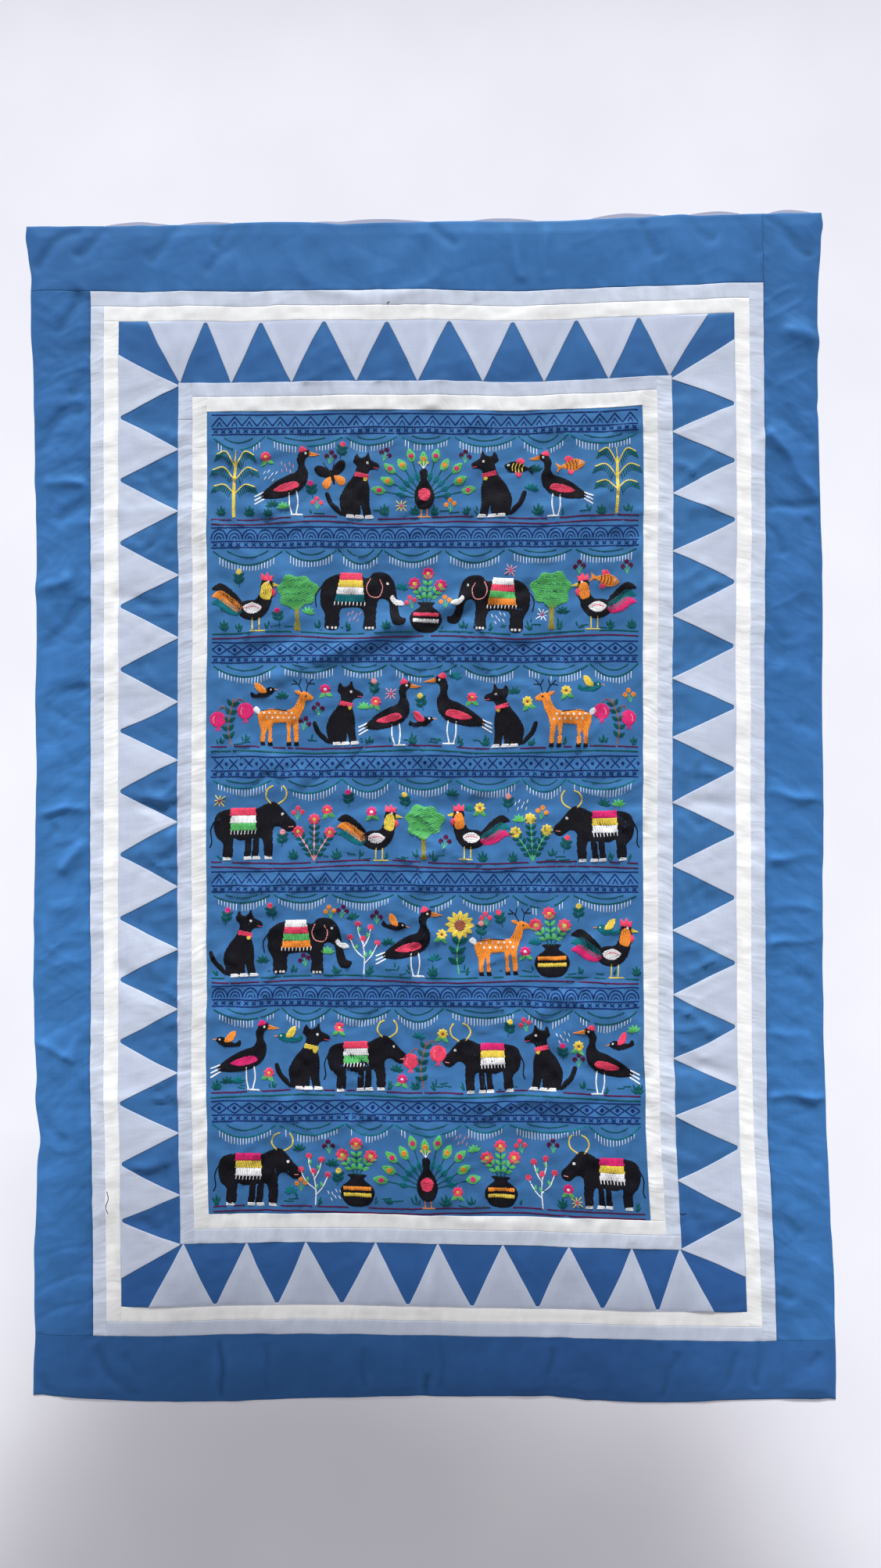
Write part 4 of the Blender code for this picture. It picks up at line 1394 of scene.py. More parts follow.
def palm(pen, stem="yellow", leaves="dark_green"):
    """A tall stem whose bent fronds carry combs of leaflets."""
    pen.line(stem, ((0, 0), (-1.5, 30), (0, 62)), 2.2)
    pen.line(stem, ((1.4, 0), (0.2, 30), (1, 60)), 2.0)
    for height, reach, rise in ((26, 22, 10), (40, 24, 14), (54, 20, 17)):
        for side in (-1, 1):
            frond = np.array(((0, height), (side * reach * 0.5, height + rise),
                              (side * reach, height + rise * 0.8)))
            pen.line(stem, frond, 1.6)
            path = curve(frond, False)
            for x, y in path[2:]:
                pen.bar(leaves, ((x, y - 0.6), (x + side * 2.5, y - 7.5)), 1.5)
    pen.line(stem, ((0, 60), (1, 72)), 1.2)


def crane(pen, accent="hot_pink"):
    """A standing crane: a black body, a bright wing and white legs."""
    pen.line("white", ((0, 22), (0, 10), (2, 1)), 1.7)
    pen.line("white", ((7, 23), (8, 12), (6, 1)), 1.7)
    for x in (2, 6):
        pen.bar("white", ((x - 1, 1), (x + 6, 0.5)), 1.9)
    for low in (0, 3.2, 6.4):
        pen.bar("white", ((-24, 17 + low), (-33, 12 + low * 1.2)), 1.8)
    pen.fill("black", ((-27, 20), (-15, 31), (-2, 38), (6, 41), (9, 47), (8, 54), (12, 61), (18, 62),
                       (21, 58), (16, 54), (15, 48), (18, 40), (16, 30), (8, 22), (-5, 18), (-17, 17)), 62)
    pen.fill(accent, ((-15, 25), (-5, 30), (6, 32), (10, 28), (4, 25), (-6, 23)), 20, layer=1)
    pen.patch("orange", ((19, 60.5), (31, 56.5), (19, 56)), 0)
    pen.fill(accent, ((10, 60), (12, 65), (16, 63.5), (17, 61)), 60, layer=1)
    pen.dot("white", 16, 58.5, 1.0, layer=1)


def rooster(pen, hackle="orange", tails=("black", "teal", "magenta")):
    """A rooster with a comb, a bright neck and three tail feathers."""
    for index, colour in enumerate(tails):
        drop = 6.5 * index
        pen.fill(colour, ((-9, 26 - drop * 0.5), (-18, 37 - drop), (-28, 43 - drop), (-36, 38 - drop),
                          (-31, 36 - drop), (-23, 30 - drop), (-13, 20 - drop * 0.4)), 130)
    for x in (0, 6):
        pen.bar("yellow", ((x, 13), (x, 2)), 1.6)
        pen.bar("yellow", ((x - 2, 1), (x + 5, 1)), 1.6)
    pen.fill("black", ((-14, 24), (-6, 28), (3, 29), (7, 36), (8, 44), (13, 48), (18, 44), (18, 36),
                       (16, 26), (12, 17), (4, 11), (-6, 12), (-13, 17)), 70)
    pen.fill(hackle, ((7, 34), (9, 42), (14, 44), (17, 38), (15, 29), (8, 30)), 80, layer=1)
    pen.patch("hot_pink", ((8, 46), (8, 52), (11, 49), (13, 53), (15, 49), (18, 50), (17, 45)), 90, layer=1)
    pen.fill("hot_pink", ((17, 39), (20, 36), (18, 32), (16, 36)), 90, layer=1)
    pen.patch("yellow", ((17, 44), (24, 41), (17, 40)), 0)
    pen.fill("white", ((-8, 22), (0, 26), (8, 22), (3, 17), (-4, 17)), 20, layer=1)
    pen.line("hot_pink", ((-6, 21), (1, 23), (6, 21)), 1.2, layer=2)
    pen.dot("white", 14, 44, 0.9, layer=2)


def deer(pen, coat="orange"):
    """A spotted deer with antlers."""
    for x in (-13, 7):
        pen.fill(coat, ((x - 2, 26), (x + 3, 26), (x + 2, 14), (x + 3, 4), (x - 1, 4), (x - 1, 14)), 90)
        pen.patch("black", ((x - 1, 4), (x + 3, 4), (x + 4, 0), (x - 1, 0)), 0)
    pen.fill(coat, ((-25, 34), (-12, 39), (2, 37), (12, 40), (17, 48), (20, 56), (26, 57), (33, 52),
                    (32, 49), (26, 48), (24, 41), (20, 32), (18, 24), (18, 12), (18, 4), (14, 4), (13, 14),
                    (10, 24), (-6, 24), (-12, 22), (-17, 14), (-18, 4), (-22, 4), (-22, 16), (-25, 26)), 78)
    for x in (-22, 14):
        pen.patch("black", ((x, 4), (x + 4, 4), (x + 5, 0), (x, 0)), 0)
    pen.fill("white", ((-25, 33), (-31, 37), (-28, 41), (-24, 38)), 45)
    antlers = (((22, 56), (18, 64), (12, 70)), ((18, 64), (20, 71)), ((16, 66), (10, 65)),
               ((26, 57), (28, 65), (33, 71)), ((28, 65), (25, 71)), ((29, 66), (35, 66)))
    for points in antlers:
        pen.line("black", points, 1.3)
    pen.leaf(coat, 21, 55, 160, 8, 4)
    for column in range(6):
        for row in range(2):
            pen.dot("white", -19 + 6 * column + 3 * row, 34.5 - 5 * row, 1.1, layer=1)
    pen.line("black", ((-21, 37), (-8, 38.5), (6, 37)), 1.0, layer=1)
    pen.dot("black", 26, 53, 1.0, layer=1)


def saddle_cloth(pen, colours, left, right, high, low, flare):
    """A striped cloth on a beast's back, whose stripes are each wider at their lower edge."""
    stops = np.linspace(high, low, len(colours) + 1)
    for index, (colour, upper, lower) in enumerate(zip(colours, stops, stops[1:])):
        first, last = left - flare * index, right + flare * index
        stripe = ((first, upper), (last, upper), (last + 1, lower), (first - 1, lower))
        pen.patch(colour, stripe, 90, layer=1)


def elephant(pen, bands=("white", "hot_pink", "bright_green", "orange")):
    """A black elephant under a striped cloth."""
    pen.line("black", ((-30, 38), (-35, 30), (-34, 20)), 1.6)
    pen.fill("black", ((-31, 30), (-29, 41), (-18, 48), (-2, 49), (9, 46), (15, 51), (25, 51), (32, 45),
                       (35, 34), (37, 23), (40, 14), (45, 12), (43, 7), (35, 7), (31, 16), (29, 26),
                       (23, 29), (19, 25), (19, 10), (19, 2), (9, 2), (9, 12), (5, 20), (-8, 20),
                       (-13, 17), (-14, 2), (-25, 2), (-26, 14), (-30, 22)), 85)
    saddle_cloth(pen, bands, -14, 4, 50, 25, 1)
    for x in np.linspace(-18, 8, 9):
        pen.bar("white", ((x, 25), (x, 22)), 1.2, layer=1)
    pen.line("salmon", ((12, 46), (9, 38), (12, 31), (20, 30), (23, 38), (20, 45)), 1.3, layer=1)
    pen.fill("white", ((30, 29), (35, 24), (42, 24), (41, 27), (35, 29), (32, 32)), 160, layer=1)
    pen.dot("white", 27, 42, 1.1, layer=1)
    for x in (-23, -19, -16, 11, 14, 17):
        pen.dot("white", x, 2.6, 1.1, layer=1)


def peacock(pen, eyes=("magenta", "orange")):
    """A peacock face on, its fan of feathers spread."""
    for index, angle in enumerate(np.linspace(12, 168, 11)):
        c, s = compass(angle)
        reach = 40 if index % 2 else 45
        pen.bar("dark_green", ((8 * c, 18 + 8 * s), (reach * c, 18 + reach * s)), 1.5)
        pen.leaf("bright_green", (reach - 5) * c, 18 + (reach - 5) * s, angle, 15, 9)
        pen.dot(eyes[index % 2], (reach + 2) * c, 18 + (reach + 2) * s, 2.6, layer=1)
        pen.leaf("teal", 20 * c, 18 + 20 * s, angle, 10, 5)
    pen.fill("black", ((0, 50), (4, 47), (3.5, 38), (9, 28), (10, 18), (5, 9), (-5, 9), (-10, 18),
                       (-9, 28), (-3.5, 38), (-4, 47)), 90, layer=1)
    pen.fill("hot_pink", ((-6, 26), (0, 30), (6, 26), (4, 18), (-4, 18)), 0, layer=2)
    for x, y in ((-4, 56), (0, 58), (4, 56)):
        pen.bar("white", ((0, 50), (x, y)), 1.0, layer=1)
        pen.dot("yellow", x, y, 1.3, layer=1)
    for x in (-3, 3):
        pen.bar("orange", ((x, 9), (x, 1)), 1.6)
        pen.bar("orange", ((x - 3, 0.5), (x + 3, 0.5)), 1.6)


def buffalo(pen, bands=("hot_pink", "yellow", "bright_green")):
    """A stout black buffalo with wide horns, a striped cloth and white feet."""
    pen.line("black", ((-33, 38), (-38, 28), (-37, 17), (-39, 12)), 1.6)
    pen.fill("black", ((-35, 34), (-30, 44), (-15, 47), (2, 46), (12, 50), (20, 52), (26, 48), (34, 39),
                       (40, 33), (39, 27), (33, 25), (25, 30), (19, 27), (19, 16), (18, 3), (11, 3),
                       (10, 15), (6, 20), (-10, 18), (-17, 20), (-18, 14), (-19, 3), (-27, 3), (-27, 15),
                       (-33, 22)), 84)
    for x in (-6, 1):
        pen.patch("black", ((x, 22), (x + 5, 22), (x + 4, 3), (x - 2, 3)), 88)
    for x in (-27, -8, 0, 11):
        pen.patch("white", ((x, 3), (x + 6, 3), (x + 7, 0), (x, 0)), 0)
    for points in (((18, 50), (13, 57), (15, 64), (20, 67)), ((24, 50), (31, 55), (32, 62), (29, 67))):
        pen.line("yellow", points, 1.9)
    saddle_cloth(pen, bands, -19, 3, 47.5, 27, 0)
    for x in np.linspace(-19, 3, 8):
        pen.bar("white", ((x, 27), (x - 0.5, 23.5)), 1.1, layer=1)
    pen.dot("white", 28, 41, 1.2, layer=1)
    pen.bar("salmon", ((34, 29), (38, 29.5)), 1.1, layer=1)


def dog(pen, collar="hot_pink"):
    """A seated black dog with a bright collar and white paws."""
    pen.fill("black", ((-13, 2), (-18, 5), (-25, 13), (-28, 22), (-25, 23), (-21, 14), (-16, 9)), 60)
    pen.fill("black", ((-14, 8), (-15, 18), (-10, 29), (-3, 38), (0, 47), (-3, 52), (0, 59), (3, 55),
                       (8, 56), (11, 60), (13, 53), (20, 49), (20, 45), (12, 43), (10, 36), (12, 26),
                       (12, 12), (13, 2), (7, 2), (4, 12), (2, 2), (-12, 2)), 76)
    pen.patch(collar, ((-1, 42), (11, 39), (10.5, 35.5), (-2, 38)), 0, layer=1)
    pen.dot("yellow", 8, 35, 1.8, layer=1)
    for x in (-9, -1, 8):
        pen.patch("white", ((x, 3), (x + 6, 3), (x + 8, 0.5), (x + 6, 0), (x, 0)), 0, layer=1)
    pen.dot("white", 10, 50, 1.1, layer=1)
    pen.bar("hot_pink", ((16, 45.5), (20, 45)), 1.0, layer=1)


def butterfly(pen, wing="orange", low_wing="yellow"):
    """A butterfly with its four wings spread."""
    for side in (-1, 1):
        for colour, rim in (
            (wing, ((1, 2), (5, 12), (14, 17), (19, 13), (16, 5), (7, 0))),
            (low_wing, ((1, 0), (9, -2), (14, -7), (11, -14), (5, -11))),
        ):
            pen.fill(colour, [(side * x, y) for x, y in rim], 60)
        for reach in (0.45, 0.75):
            pen.line("black", ((side * 16 * reach, 15 * reach), (side * 19 * reach, 7 * reach)),
                     1.1, layer=1)
        pen.line("black", ((side * 1, 6), (side * 4, 12), (side * 7, 19)), 0.9)
    pen.fill("black", ((0, 8), (1.6, 4), (1.4, -6), (0, -11), (-1.4, -6), (-1.6, 4)), 90, layer=1)


def fish(pen, body="orange", stripes="black"):
    """A fat striped fish with fins and a forked tail."""
    pen.fill(body, ((20, 12), (12, 19), (0, 21), (-11, 16), (-17, 12), (-11, 8), (0, 3), (12, 5)), 0)
    pen.patch(body, ((-15, 12), (-25, 20), (-22, 12), (-25, 4)), 0)
    pen.fill("hot_pink", ((4, 20), (-2, 27), (-9, 24), (-6, 18)), 120)
    pen.fill("hot_pink", ((2, 4), (-3, -2), (-8, 1), (-5, 7)), 60)
    for x in (-9, -4, 1, 6):
        tall = 7.5 - 0.03 * x * x
        pen.line(stripes, ((x, 12 + tall), (x + 2, 12), (x, 12 - tall)), 1.5, layer=1)
    pen.dot("white", 14, 13.5, 1.8, layer=1)
    pen.dot("black", 14.4, 13.5, 0.8, layer=2)


def fruit_branch(pen, colour="magenta"):
    """Round fruits that hang from a leafy branch."""
    leafy_stem(pen, ((0, 0), (-3, 24), (4, 52)), "brown", "dark_green", 9, 9)
    for x, y, radius in ((-14, 30, 8.5), (16, 38, 9.0)):
        pen.line("brown", ((0.1 * x, y + 6), (0.6 * x, y + 14), (x, y + radius)), 1.3)
        pen.dot(colour, x, y, radius, 70)
        pen.line("salmon", ((x - 4, y - 4), (x - 5, y), (x - 3, y + 4)), 1.1, layer=1)
        for side in (-1, 0, 1):
            pen.bar(colour, ((x, y - radius + 1), (x + 2.5 * side, y - radius - 4)), 1.4)


def white_twig(pen, bud="hot_pink"):
    """A branching white twig with buds at its ends."""
    twigs = (((0, 0), (1, 16), (0, 34)), ((0.5, 10), (8, 18), (15, 30)), ((0.5, 16), (-8, 24), (-13, 36)),
             ((0, 26), (6, 36), (9, 46)), ((0, 30), (-4, 42), (-4, 50)))
    for twig in twigs:
        pen.line("white", twig, 1.5)
        x, y = twig[-1]
        pen.dot(bud, x, y + 1.5, 3.0)
        pen.leaf("bright_green", *twig[1], 100 if x > 0 else 70, 6, 3)


def fern(pen):
    """Four upright leafy shoots from one root."""
    for lean in (-14, -4, 6, 16):
        leafy_stem(pen, ((0, 0), (0.5 * lean, 16), (lean, 33)), "brown", "dark_green", 7, 6)


def flower_pot(pen, flower="hot_pink", bands=("hot_pink", "yellow")):
    """A round black pot with two stripes and three flowers in it."""
    for x, y in ((-13, 44), (0, 54), (13, 43)):
        leafy_stem(pen, ((0.15 * x, 27), (0.5 * x, 36), (x, y)), "dark_green", "bright_green", 6.5, 6)
        blossom(pen, x, y + 2, 5.5, flower)
    pen.fill("black", ((-8, 28), (8, 28), (6, 24), (14, 17), (15, 9), (8, 0), (-8, 0), (-15, 9), (-14, 17),
                       (-6, 24)), 84)
    for index, colour in enumerate(bands):
        y = 16 - 6 * index
        stripe = ((-12.5, y + 1.6), (12.5, y + 1.6), (12.5, y - 1.6), (-12.5, y - 1.6))
        pen.patch(colour, stripe, 90, layer=1)


def sprig(pen, bud="hot_pink"):
    """A short stem with two pairs of leaves and a bud."""
    pen.line("dark_green", ((0, -8), (0.6, 0), (0, 6)), 1.3)
    for y, side in ((-4, -1), (-3, 1), (1, -1), (2, 1)):
        pen.leaf("dark_green", 0, y, 90 - side * 52, 7.5, 4)
    pen.dot(bud, 0, 7.5, 2.8)


def small_flower(pen, petal="hot_pink", heart="yellow"):
    """An open flower on two leaves."""
    pen.leaf("bright_green", 0, -2, 215, 9, 4.5)
    pen.leaf("bright_green", 0, -2, 325, 9, 4.5)
    blossom(pen, 0, 2, 5.6, petal, heart)


def star(pen, colour="yellow"):
    """Eight rays round a small heart."""
    for index in range(8):
        c, s = compass(45 * index)
        reach = 9.0 if index % 2 else 6.4
        pen.bar(colour, ((2.6 * c, 2.6 * s), (reach * c, reach * s)), 1.2, step=7)
    pen.dot("hot_pink", 0, 0, 1.5)


def berries(pen, colour="maroon"):
    """Three berries on forked stalks."""
    for x, y in ((-4.5, 1), (0, 5), (4.5, 0)):
        pen.line("bright_green", ((0, -7), (0.5 * x, 0.5 * y - 2), (x, y)), 1.0)
        pen.dot(colour, x, y + 1, 2.5)


def leaflets(pen, colour="dark_green"):
    """Five leaves that spread from one point."""
    for angle in (18, 54, 90, 126, 162):
        pen.leaf(colour, 0, -4, angle, 10.5, 3.8)


def dashes(pen, colour="white"):
    """A loose shower of short slanting stitches."""
    for x, y in ((-7.5, 3), (-2.8, 5.5), (2.4, 2.6), (7.0, 5), (-5, -3.5), (0, -1.8), (5, -4)):
        pen.bar(colour, ((x, y), (x - 1.3, y - 3.6)), 0.9, step=6)


def small_bird(pen, body="teal", wing="yellow"):
    """A small bird in flight."""
    outline = ((12, 3), (7, 6.5), (0, 4), (-8, 1), (-13, 4), (-14, -1), (-7, -3), (2, -3.5), (8, -1))
    pen.fill(body, outline, 12)
    pen.fill(wing, ((3, 2), (-2, 11), (-8, 12.5), (-5, 3)), 110, layer=1)
    pen.bar("orange", ((11, 3.5), (15, 2.5)), 1.2)
    pen.dot("white", 8, 3.6, 0.8, layer=1)


# Motifs: how far each reaches to its left and to its right, and its size
MOTIFS = {
    palm: (22, 22, 1.15),
    crane: (33, 31, 1.28),
    flower_bush: (24, 25, 1.05),
    white_twig: (15, 17, 1.15),
    rooster: (36, 24, 1.35),
    round_tree: (20, 20, 1.2),
    elephant: (35, 45, 1.34),
    buffalo: (39, 40, 1.28),
    fruit_branch: (23, 26, 1.1),
    deer: (31, 35, 1.18),
    dog: (27, 20, 1.32),
    sunflower: (14, 14, 1.2),
    flower_pot: (19, 19, 1.3),
    peacock: (45, 45, 1.22),
}

# Rows of the design, from the top: a row that ends in None is mirrored past its last motif
DESIGN = (
    (palm, crane, dog, peacock, None),
    (rooster, round_tree, elephant, flower_pot, None),
    (fruit_branch, deer, dog, crane, None, None),
    (buffalo, flower_bush, rooster, round_tree, None),
    (dog, elephant, white_twig, crane, sunflower, deer, flower_pot, rooster),
    (crane, dog, buffalo, fruit_branch, None),
    (buffalo, white_twig, flower_pot, peacock, None),
)
ROW_PITCH = 139.0
ROW_TOP = 485.0
BAND_DEPTH = 28.0
BASE_DEPTH = 128.5
SIDE_MARGIN = 259.0

# Colours that a motif takes in turn, from row to row
CHANGES = {
    flower_bush: (("hot_pink", "salmon"), ("yellow", "bright_green"), ("magenta", "white")),
    crane: (("hot_pink",), ("magenta",)),
    rooster: (("orange", ("black", "teal", "magenta")), ("yellow", ("black", "orange", "teal"))),
    sunflower: (("yellow", "brown"), ("yellow", "maroon")),
    dog: (("hot_pink",), ("yellow",)),
    fruit_branch: (("magenta",), ("hot_pink",)),
    white_twig: (("hot_pink",), ("magenta",)),
    elephant: ((("white", "hot_pink", "bright_green", "orange"),),
               (("hot_pink", "yellow", "white", "teal"),)),
    buffalo: ((("magenta", "yellow", "white"),), (("hot_pink", "white", "bright_green"),)),
    flower_pot: (("hot_pink", ("orange", "yellow")), ("magenta", ("hot_pink", "white"))),
}

# Small things strewn over the gaps: what sews each, its radius, its size, how many a row gets
# and the colours that it takes in turn
FILLERS = (
    (flower_pot, 22, 0.72, 1, (("magenta", ("orange", "white")), ("yellow", ("hot_pink", "teal")))),
    (butterfly, 19, 1.0, 2, (("black", "orange"), ("orange", "yellow"), ("magenta", "black"))),
    (fish, 18, 0.8, 2, (("black", "yellow"), ("orange", "black"))),
    (fern, 17, 0.85, 2, ((),)),
    (small_bird, 14, 1.15, 3, (("black", "hot_pink"), ("black", "orange"), ("teal", "yellow"))),
    (sprig, 9, 1.15, 8, (("hot_pink",), ("magenta",), ("yellow",), ("salmon",))),
    (small_flower, 9, 1.05, 5, (("hot_pink", "yellow"), ("magenta", "white"), ("yellow", "brown"))),
    (star, 9, 0.95, 2, (("yellow",), ("white",), ("salmon",))),
    (berries, 7, 1.1, 5, (("maroon",), ("hot_pink",), ("maroon",), ("orange",))),
    (dashes, 8.5, 1.0, 4, (("white",), ("salmon",), ("white",))),
    (leaflets, 6, 0.85, 12, (("dark_green",), ("teal",), ("dark_green",), ("bright_green",))),
)
FILLER_TRIES = 90

# The fillers that grow from their lower edge
UPRIGHT = (flower_pot, fern)

# The cells that say where the panel already holds stitches
CELL = 2.5


def mirrored(row):
    """List a row's motifs from left to right with the way that each faces."""
    sewn = [(sew, 1) for sew in row if sew is not None]
    if len(sewn) == len(row):
        return sewn
    once = 1 if row[-2] is not None else 0
    return sewn + [(sew, -1) for sew, _ in reversed(sewn)][once:]


def sew_row(base, row, motifs):
    """Stand a row's motifs side by side, each a little turned and sized by hand."""
    placed = mirrored(motifs)
    reaches = []
    for sew, facing in placed:
        left, right, size = MOTIFS[sew]
        reaches.append((left * size, right * size)[::facing])
    gap = (2 * SIDE_MARGIN - sum(map(sum, reaches))) / (len(placed) - 1)
    edge = -SIDE_MARGIN
    for (sew, facing), (before, after) in zip(placed, reaches):
        u = edge + before
        edge += before + after + gap
        pen = Pen(u + hand.uniform(-2, 2), base + hand.uniform(-2, 2),
                  MOTIFS[sew][2] * (1 + hand.uniform(-0.04, 0.04)), facing, hand.uniform(-2.5, 2.5))
        changes = CHANGES.get(sew, ((),))
        sew(pen, *changes[(row + (facing < 0 and row % 2)) % len(changes)])


def sewn_cells(bottom, top):
    """Mark the cells of the panel, between two heights, that already hold stitches."""
    taken = np.zeros((int((top - bottom) / CELL) + 2, int(2 * SIDE_MARGIN / CELL) + 2), bool)
    for rows in filter(None, stitches.values()):
        rows = np.array(rows)
        for part in (0, 0.5, 1):
            u, v = (rows[:, :2] * (1 - part) + rows[:, 2:4] * part).T
            inside = (bottom < v) & (v < top) & (np.abs(u) < SIDE_MARGIN)
            column = ((u[inside] + SIDE_MARGIN) / CELL).astype(int)
            level = ((v[inside] - bottom) / CELL).astype(int)
            taken[level, column] = True
    return taken


def sew_behind(sew, bottom, top, *settings):
    """Sew something and leave out its stitches that would cross what is already there."""
    taken = sewn_cells(bottom, top)
    wider = taken.copy()
    for far, near in ((np.s_[1:], np.s_[:-1]), (np.s_[:, 1:], np.s_[:, :-1])):
        wider[far] |= taken[near]
        wider[near] |= taken[far]
    counts = {name: len(rows) for name, rows in stitches.items()}
    sew(*settings)
    for name, rows in stitches.items():
        kept = []
        for stitch in rows[counts[name]:]:
            u, v = (stitch[0] + stitch[2]) / 2, (stitch[1] + stitch[3]) / 2
            column = int(np.clip((u + SIDE_MARGIN) / CELL, 0, taken.shape[1] - 1))
            level = int(np.clip((v - bottom) / CELL, 0, taken.shape[0] - 1))
            if not wider[level, column]:
                kept.append(stitch)
        rows[counts[name]:] = kept


def strew(base, ceiling, row):
    """Sew small things where a row still has room."""
    taken = sewn_cells(base, ceiling)
    levels, columns = np.indices(taken.shape)
    us, vs = (columns + 0.5) * CELL - SIDE_MARGIN, (levels + 0.5) * CELL + base
    for sew, radius, size, count, changes in FILLERS:
        done = 0
        for _ in range(FILLER_TRIES):
            u = hand.uniform(radius - SIDE_MARGIN, SIDE_MARGIN - radius)
            v = hand.uniform(base + radius - 1, ceiling - radius + 1)
            near = (us - u) ** 2 + (vs - v) ** 2 < radius ** 2
            if done < count and not (taken & near).any():
                facing = 1 if hand.uniform() < 0.5 else -1
                lean = hand.uniform(-14, 14)
                drop = radius * 0.95 if sew in UPRIGHT else 11 * size if sew is fish else 0
                sew(Pen(u, v - drop, size, facing, lean), *changes[(row + done) % len(changes)])
                taken |= near
                done += 1


def sew_band(v, row):
    """Sew a running border in navy: a geometric repeat over small crosses, between lines."""
    pen = Pen(0, v)
    repeat = 18.0
    count = int(2 * SIDE_MARGIN // repeat)
    pitch = 2 * SIDE_MARGIN / count
    for height in (-12.5, -5.0, 12.0):
        xs = np.linspace(-SIDE_MARGIN, SIDE_MARGIN, 24)
        pen.line("navy", [(x, height + hand.uniform(-0.4, 0.4)) for x in xs], 1.7)
    for index in range(count):
        x = -SIDE_MARGIN + pitch * (index + 0.5)
        half = pitch / 2
        for side in (-0.5, 0.5):
            middle = x + side * half
            pen.bar("navy", ((middle - 2.2, -10.6), (middle + 2.2, -7.0)), 1.4, step=6)
            pen.bar("navy", ((middle - 2.2, -7.0), (middle + 2.2, -10.6)), 1.4, step=6)
        if row % 4 == 0:
            pen.bar("navy", ((x - half, -2), (x, 9.5), (x + half, -2)), 1.7)
            pen.bar("navy", ((x - 3, -2), (x, 3.5), (x + 3, -2)), 1.4)
        elif row % 4 == 1:
            for radius, width in ((half, 1.7), (0.62 * half, 1.5), (0.28 * half, 1.4)):
                angles = np.linspace(0, math.pi, 13)
                scale = np.stack((x + radius * np.cos(angles), -2 + 1.25 * radius * np.sin(angles)), axis=1)
                pen.bar("navy", scale, width, step=2.8)
        elif row % 4 == 2:
            pen.bar("navy", ((x - half, 3.5), (x, 10), (x + half, 3.5), (x, -3), (x - half, 3.5)), 1.6)
            pen.dot("navy", x, 3.5, 2.2)
        else:
            pen.bar("navy", ((x - 5.5, -2.5), (x + 5.5, 9.5)), 1.7)
            pen.bar("navy", ((x - 5.5, 9.5), (x + 5.5, -2.5)), 1.7)
            pen.dot("navy", x + half, 3.5, 1.9)


def sew_garland(v, row):
    """Sew hanging loops of uneven widths in green with a white fringe under each."""
    pen = Pen(0, v)
    stops = np.linspace(-SIDE_MARGIN, SIDE_MARGIN, 8)
    stops[1:-1] += hand.uniform(-16, 16, 6)
    parts = np.linspace(0, 1, 9)
    for left, right in zip(stops, stops[1:]):
        wide = right - left
        sag = hand.uniform(10, 18)
        loop = np.stack((left + wide * parts, -sag * 4 * parts * (1 - parts)), axis=1)
        pen.line("dark_green" if row % 3 else "teal", loop, 1.9)
        inner = (left + wide * (0.16 + 0.68 * parts), 2 - 0.62 * sag * 4 * parts * (1 - parts))
        pen.line("dark_green", np.stack(inner, axis=1), 1.5)
        for part in np.arange(0.12, 0.9, 3.6 / wide):
            x = left + wide * part
            y = -sag * 4 * part * (1 - part)
            long = 6.8 + 1.6 * math.sin(7 * part + row) + hand.uniform(-0.5, 0.5)
            slip = hand.uniform(-0.2, 0.2)
            pen.bar("white", ((x, y - 1.8), (x + slip, y - 1.8 - long)), 0.8, step=10)


def sew_base(v, row):
    """Sew the ground that a row stands on: wavy vines, dashes and tufts."""
    pen = Pen(0, v)
    xs = np.linspace(-SIDE_MARGIN, SIDE_MARGIN, 34)
    lines = (((0.0, "maroon"), (6.0, "maroon")), ((0.0, "dark_green"), (5.5, "maroon")),
             ((0.0, "maroon"), (5.5, "dark_green")))[row % 3]
    for drop, colour in lines:
        vine = [(x, -1.5 - drop + 1.7 * math.sin(x / (29 + 3 * row) + row)) for x in xs]
        pen.line(colour, vine, 2.0)
    for _ in range(14):
        x, y = hand.uniform(-SIDE_MARGIN + 8, SIDE_MARGIN - 18), hand.uniform(1, 9)
        pen.line("dark_green", ((x, y), (x + hand.uniform(8, 13), y + hand.uniform(-2, 2))), 1.5)


def sew_tufts(v):
    """Sew grass between the feet of what stands on a row."""
    for x in np.linspace(-SIDE_MARGIN + 10, SIDE_MARGIN - 10, 18):
        tuft(Pen(x + hand.uniform(-7, 7), v + hand.uniform(-1, 3), hand.uniform(0.8, 1.1)))


def sew_design():
    """Sew every row of the panel."""
    for row, motifs in enumerate(DESIGN):
        top = ROW_TOP - ROW_PITCH * row
        base = top - BASE_DEPTH
        low, high = base - 14, top + 4
        sew_band(top - 0.5 * BAND_DEPTH, row)
        sew_row(base, row, motifs)
        sew_behind(sew_base, low, high, base, row)
        sew_behind(sew_garland, low, high, top - BAND_DEPTH - 1, row)
        sew_behind(sew_tufts, low, high, base)
        strew(base, top - BAND_DEPTH - 4, row)


def sew_loose_ends():
    """Lay the ends of thread that were left on the strips."""
    for points in (((-388, -459), (-386, -468), (-389, -477), (-387, -485)), ((-46, 616), (-43, 618)),
                   ((300, -478), (304, -480), (309, -479))):
        Pen(0, 0).line("black", points, 0.9, step=2.0)


# Along a stitch: its stations, how high each lifts and how wide it is; short stitches have three
SHORT = np.array(((0.0, 0.5, 1.0), (0.0, 1.0, 0.0), (0.72, 1.0, 0.72)))
LONG = np.array(((0.0, 0.16, 0.84, 1.0), (0.0, 1.0, 1.0, 0.0), (0.7, 1.0, 1.0, 0.7)))
SHORT_LENGTH = 4.6
ACROSS = np.array((-0.5, 0.0, 0.5))
ACROSS_LIFT = np.array((0.1, 1.0, 0.1))
THREAD_RISE = 0.5


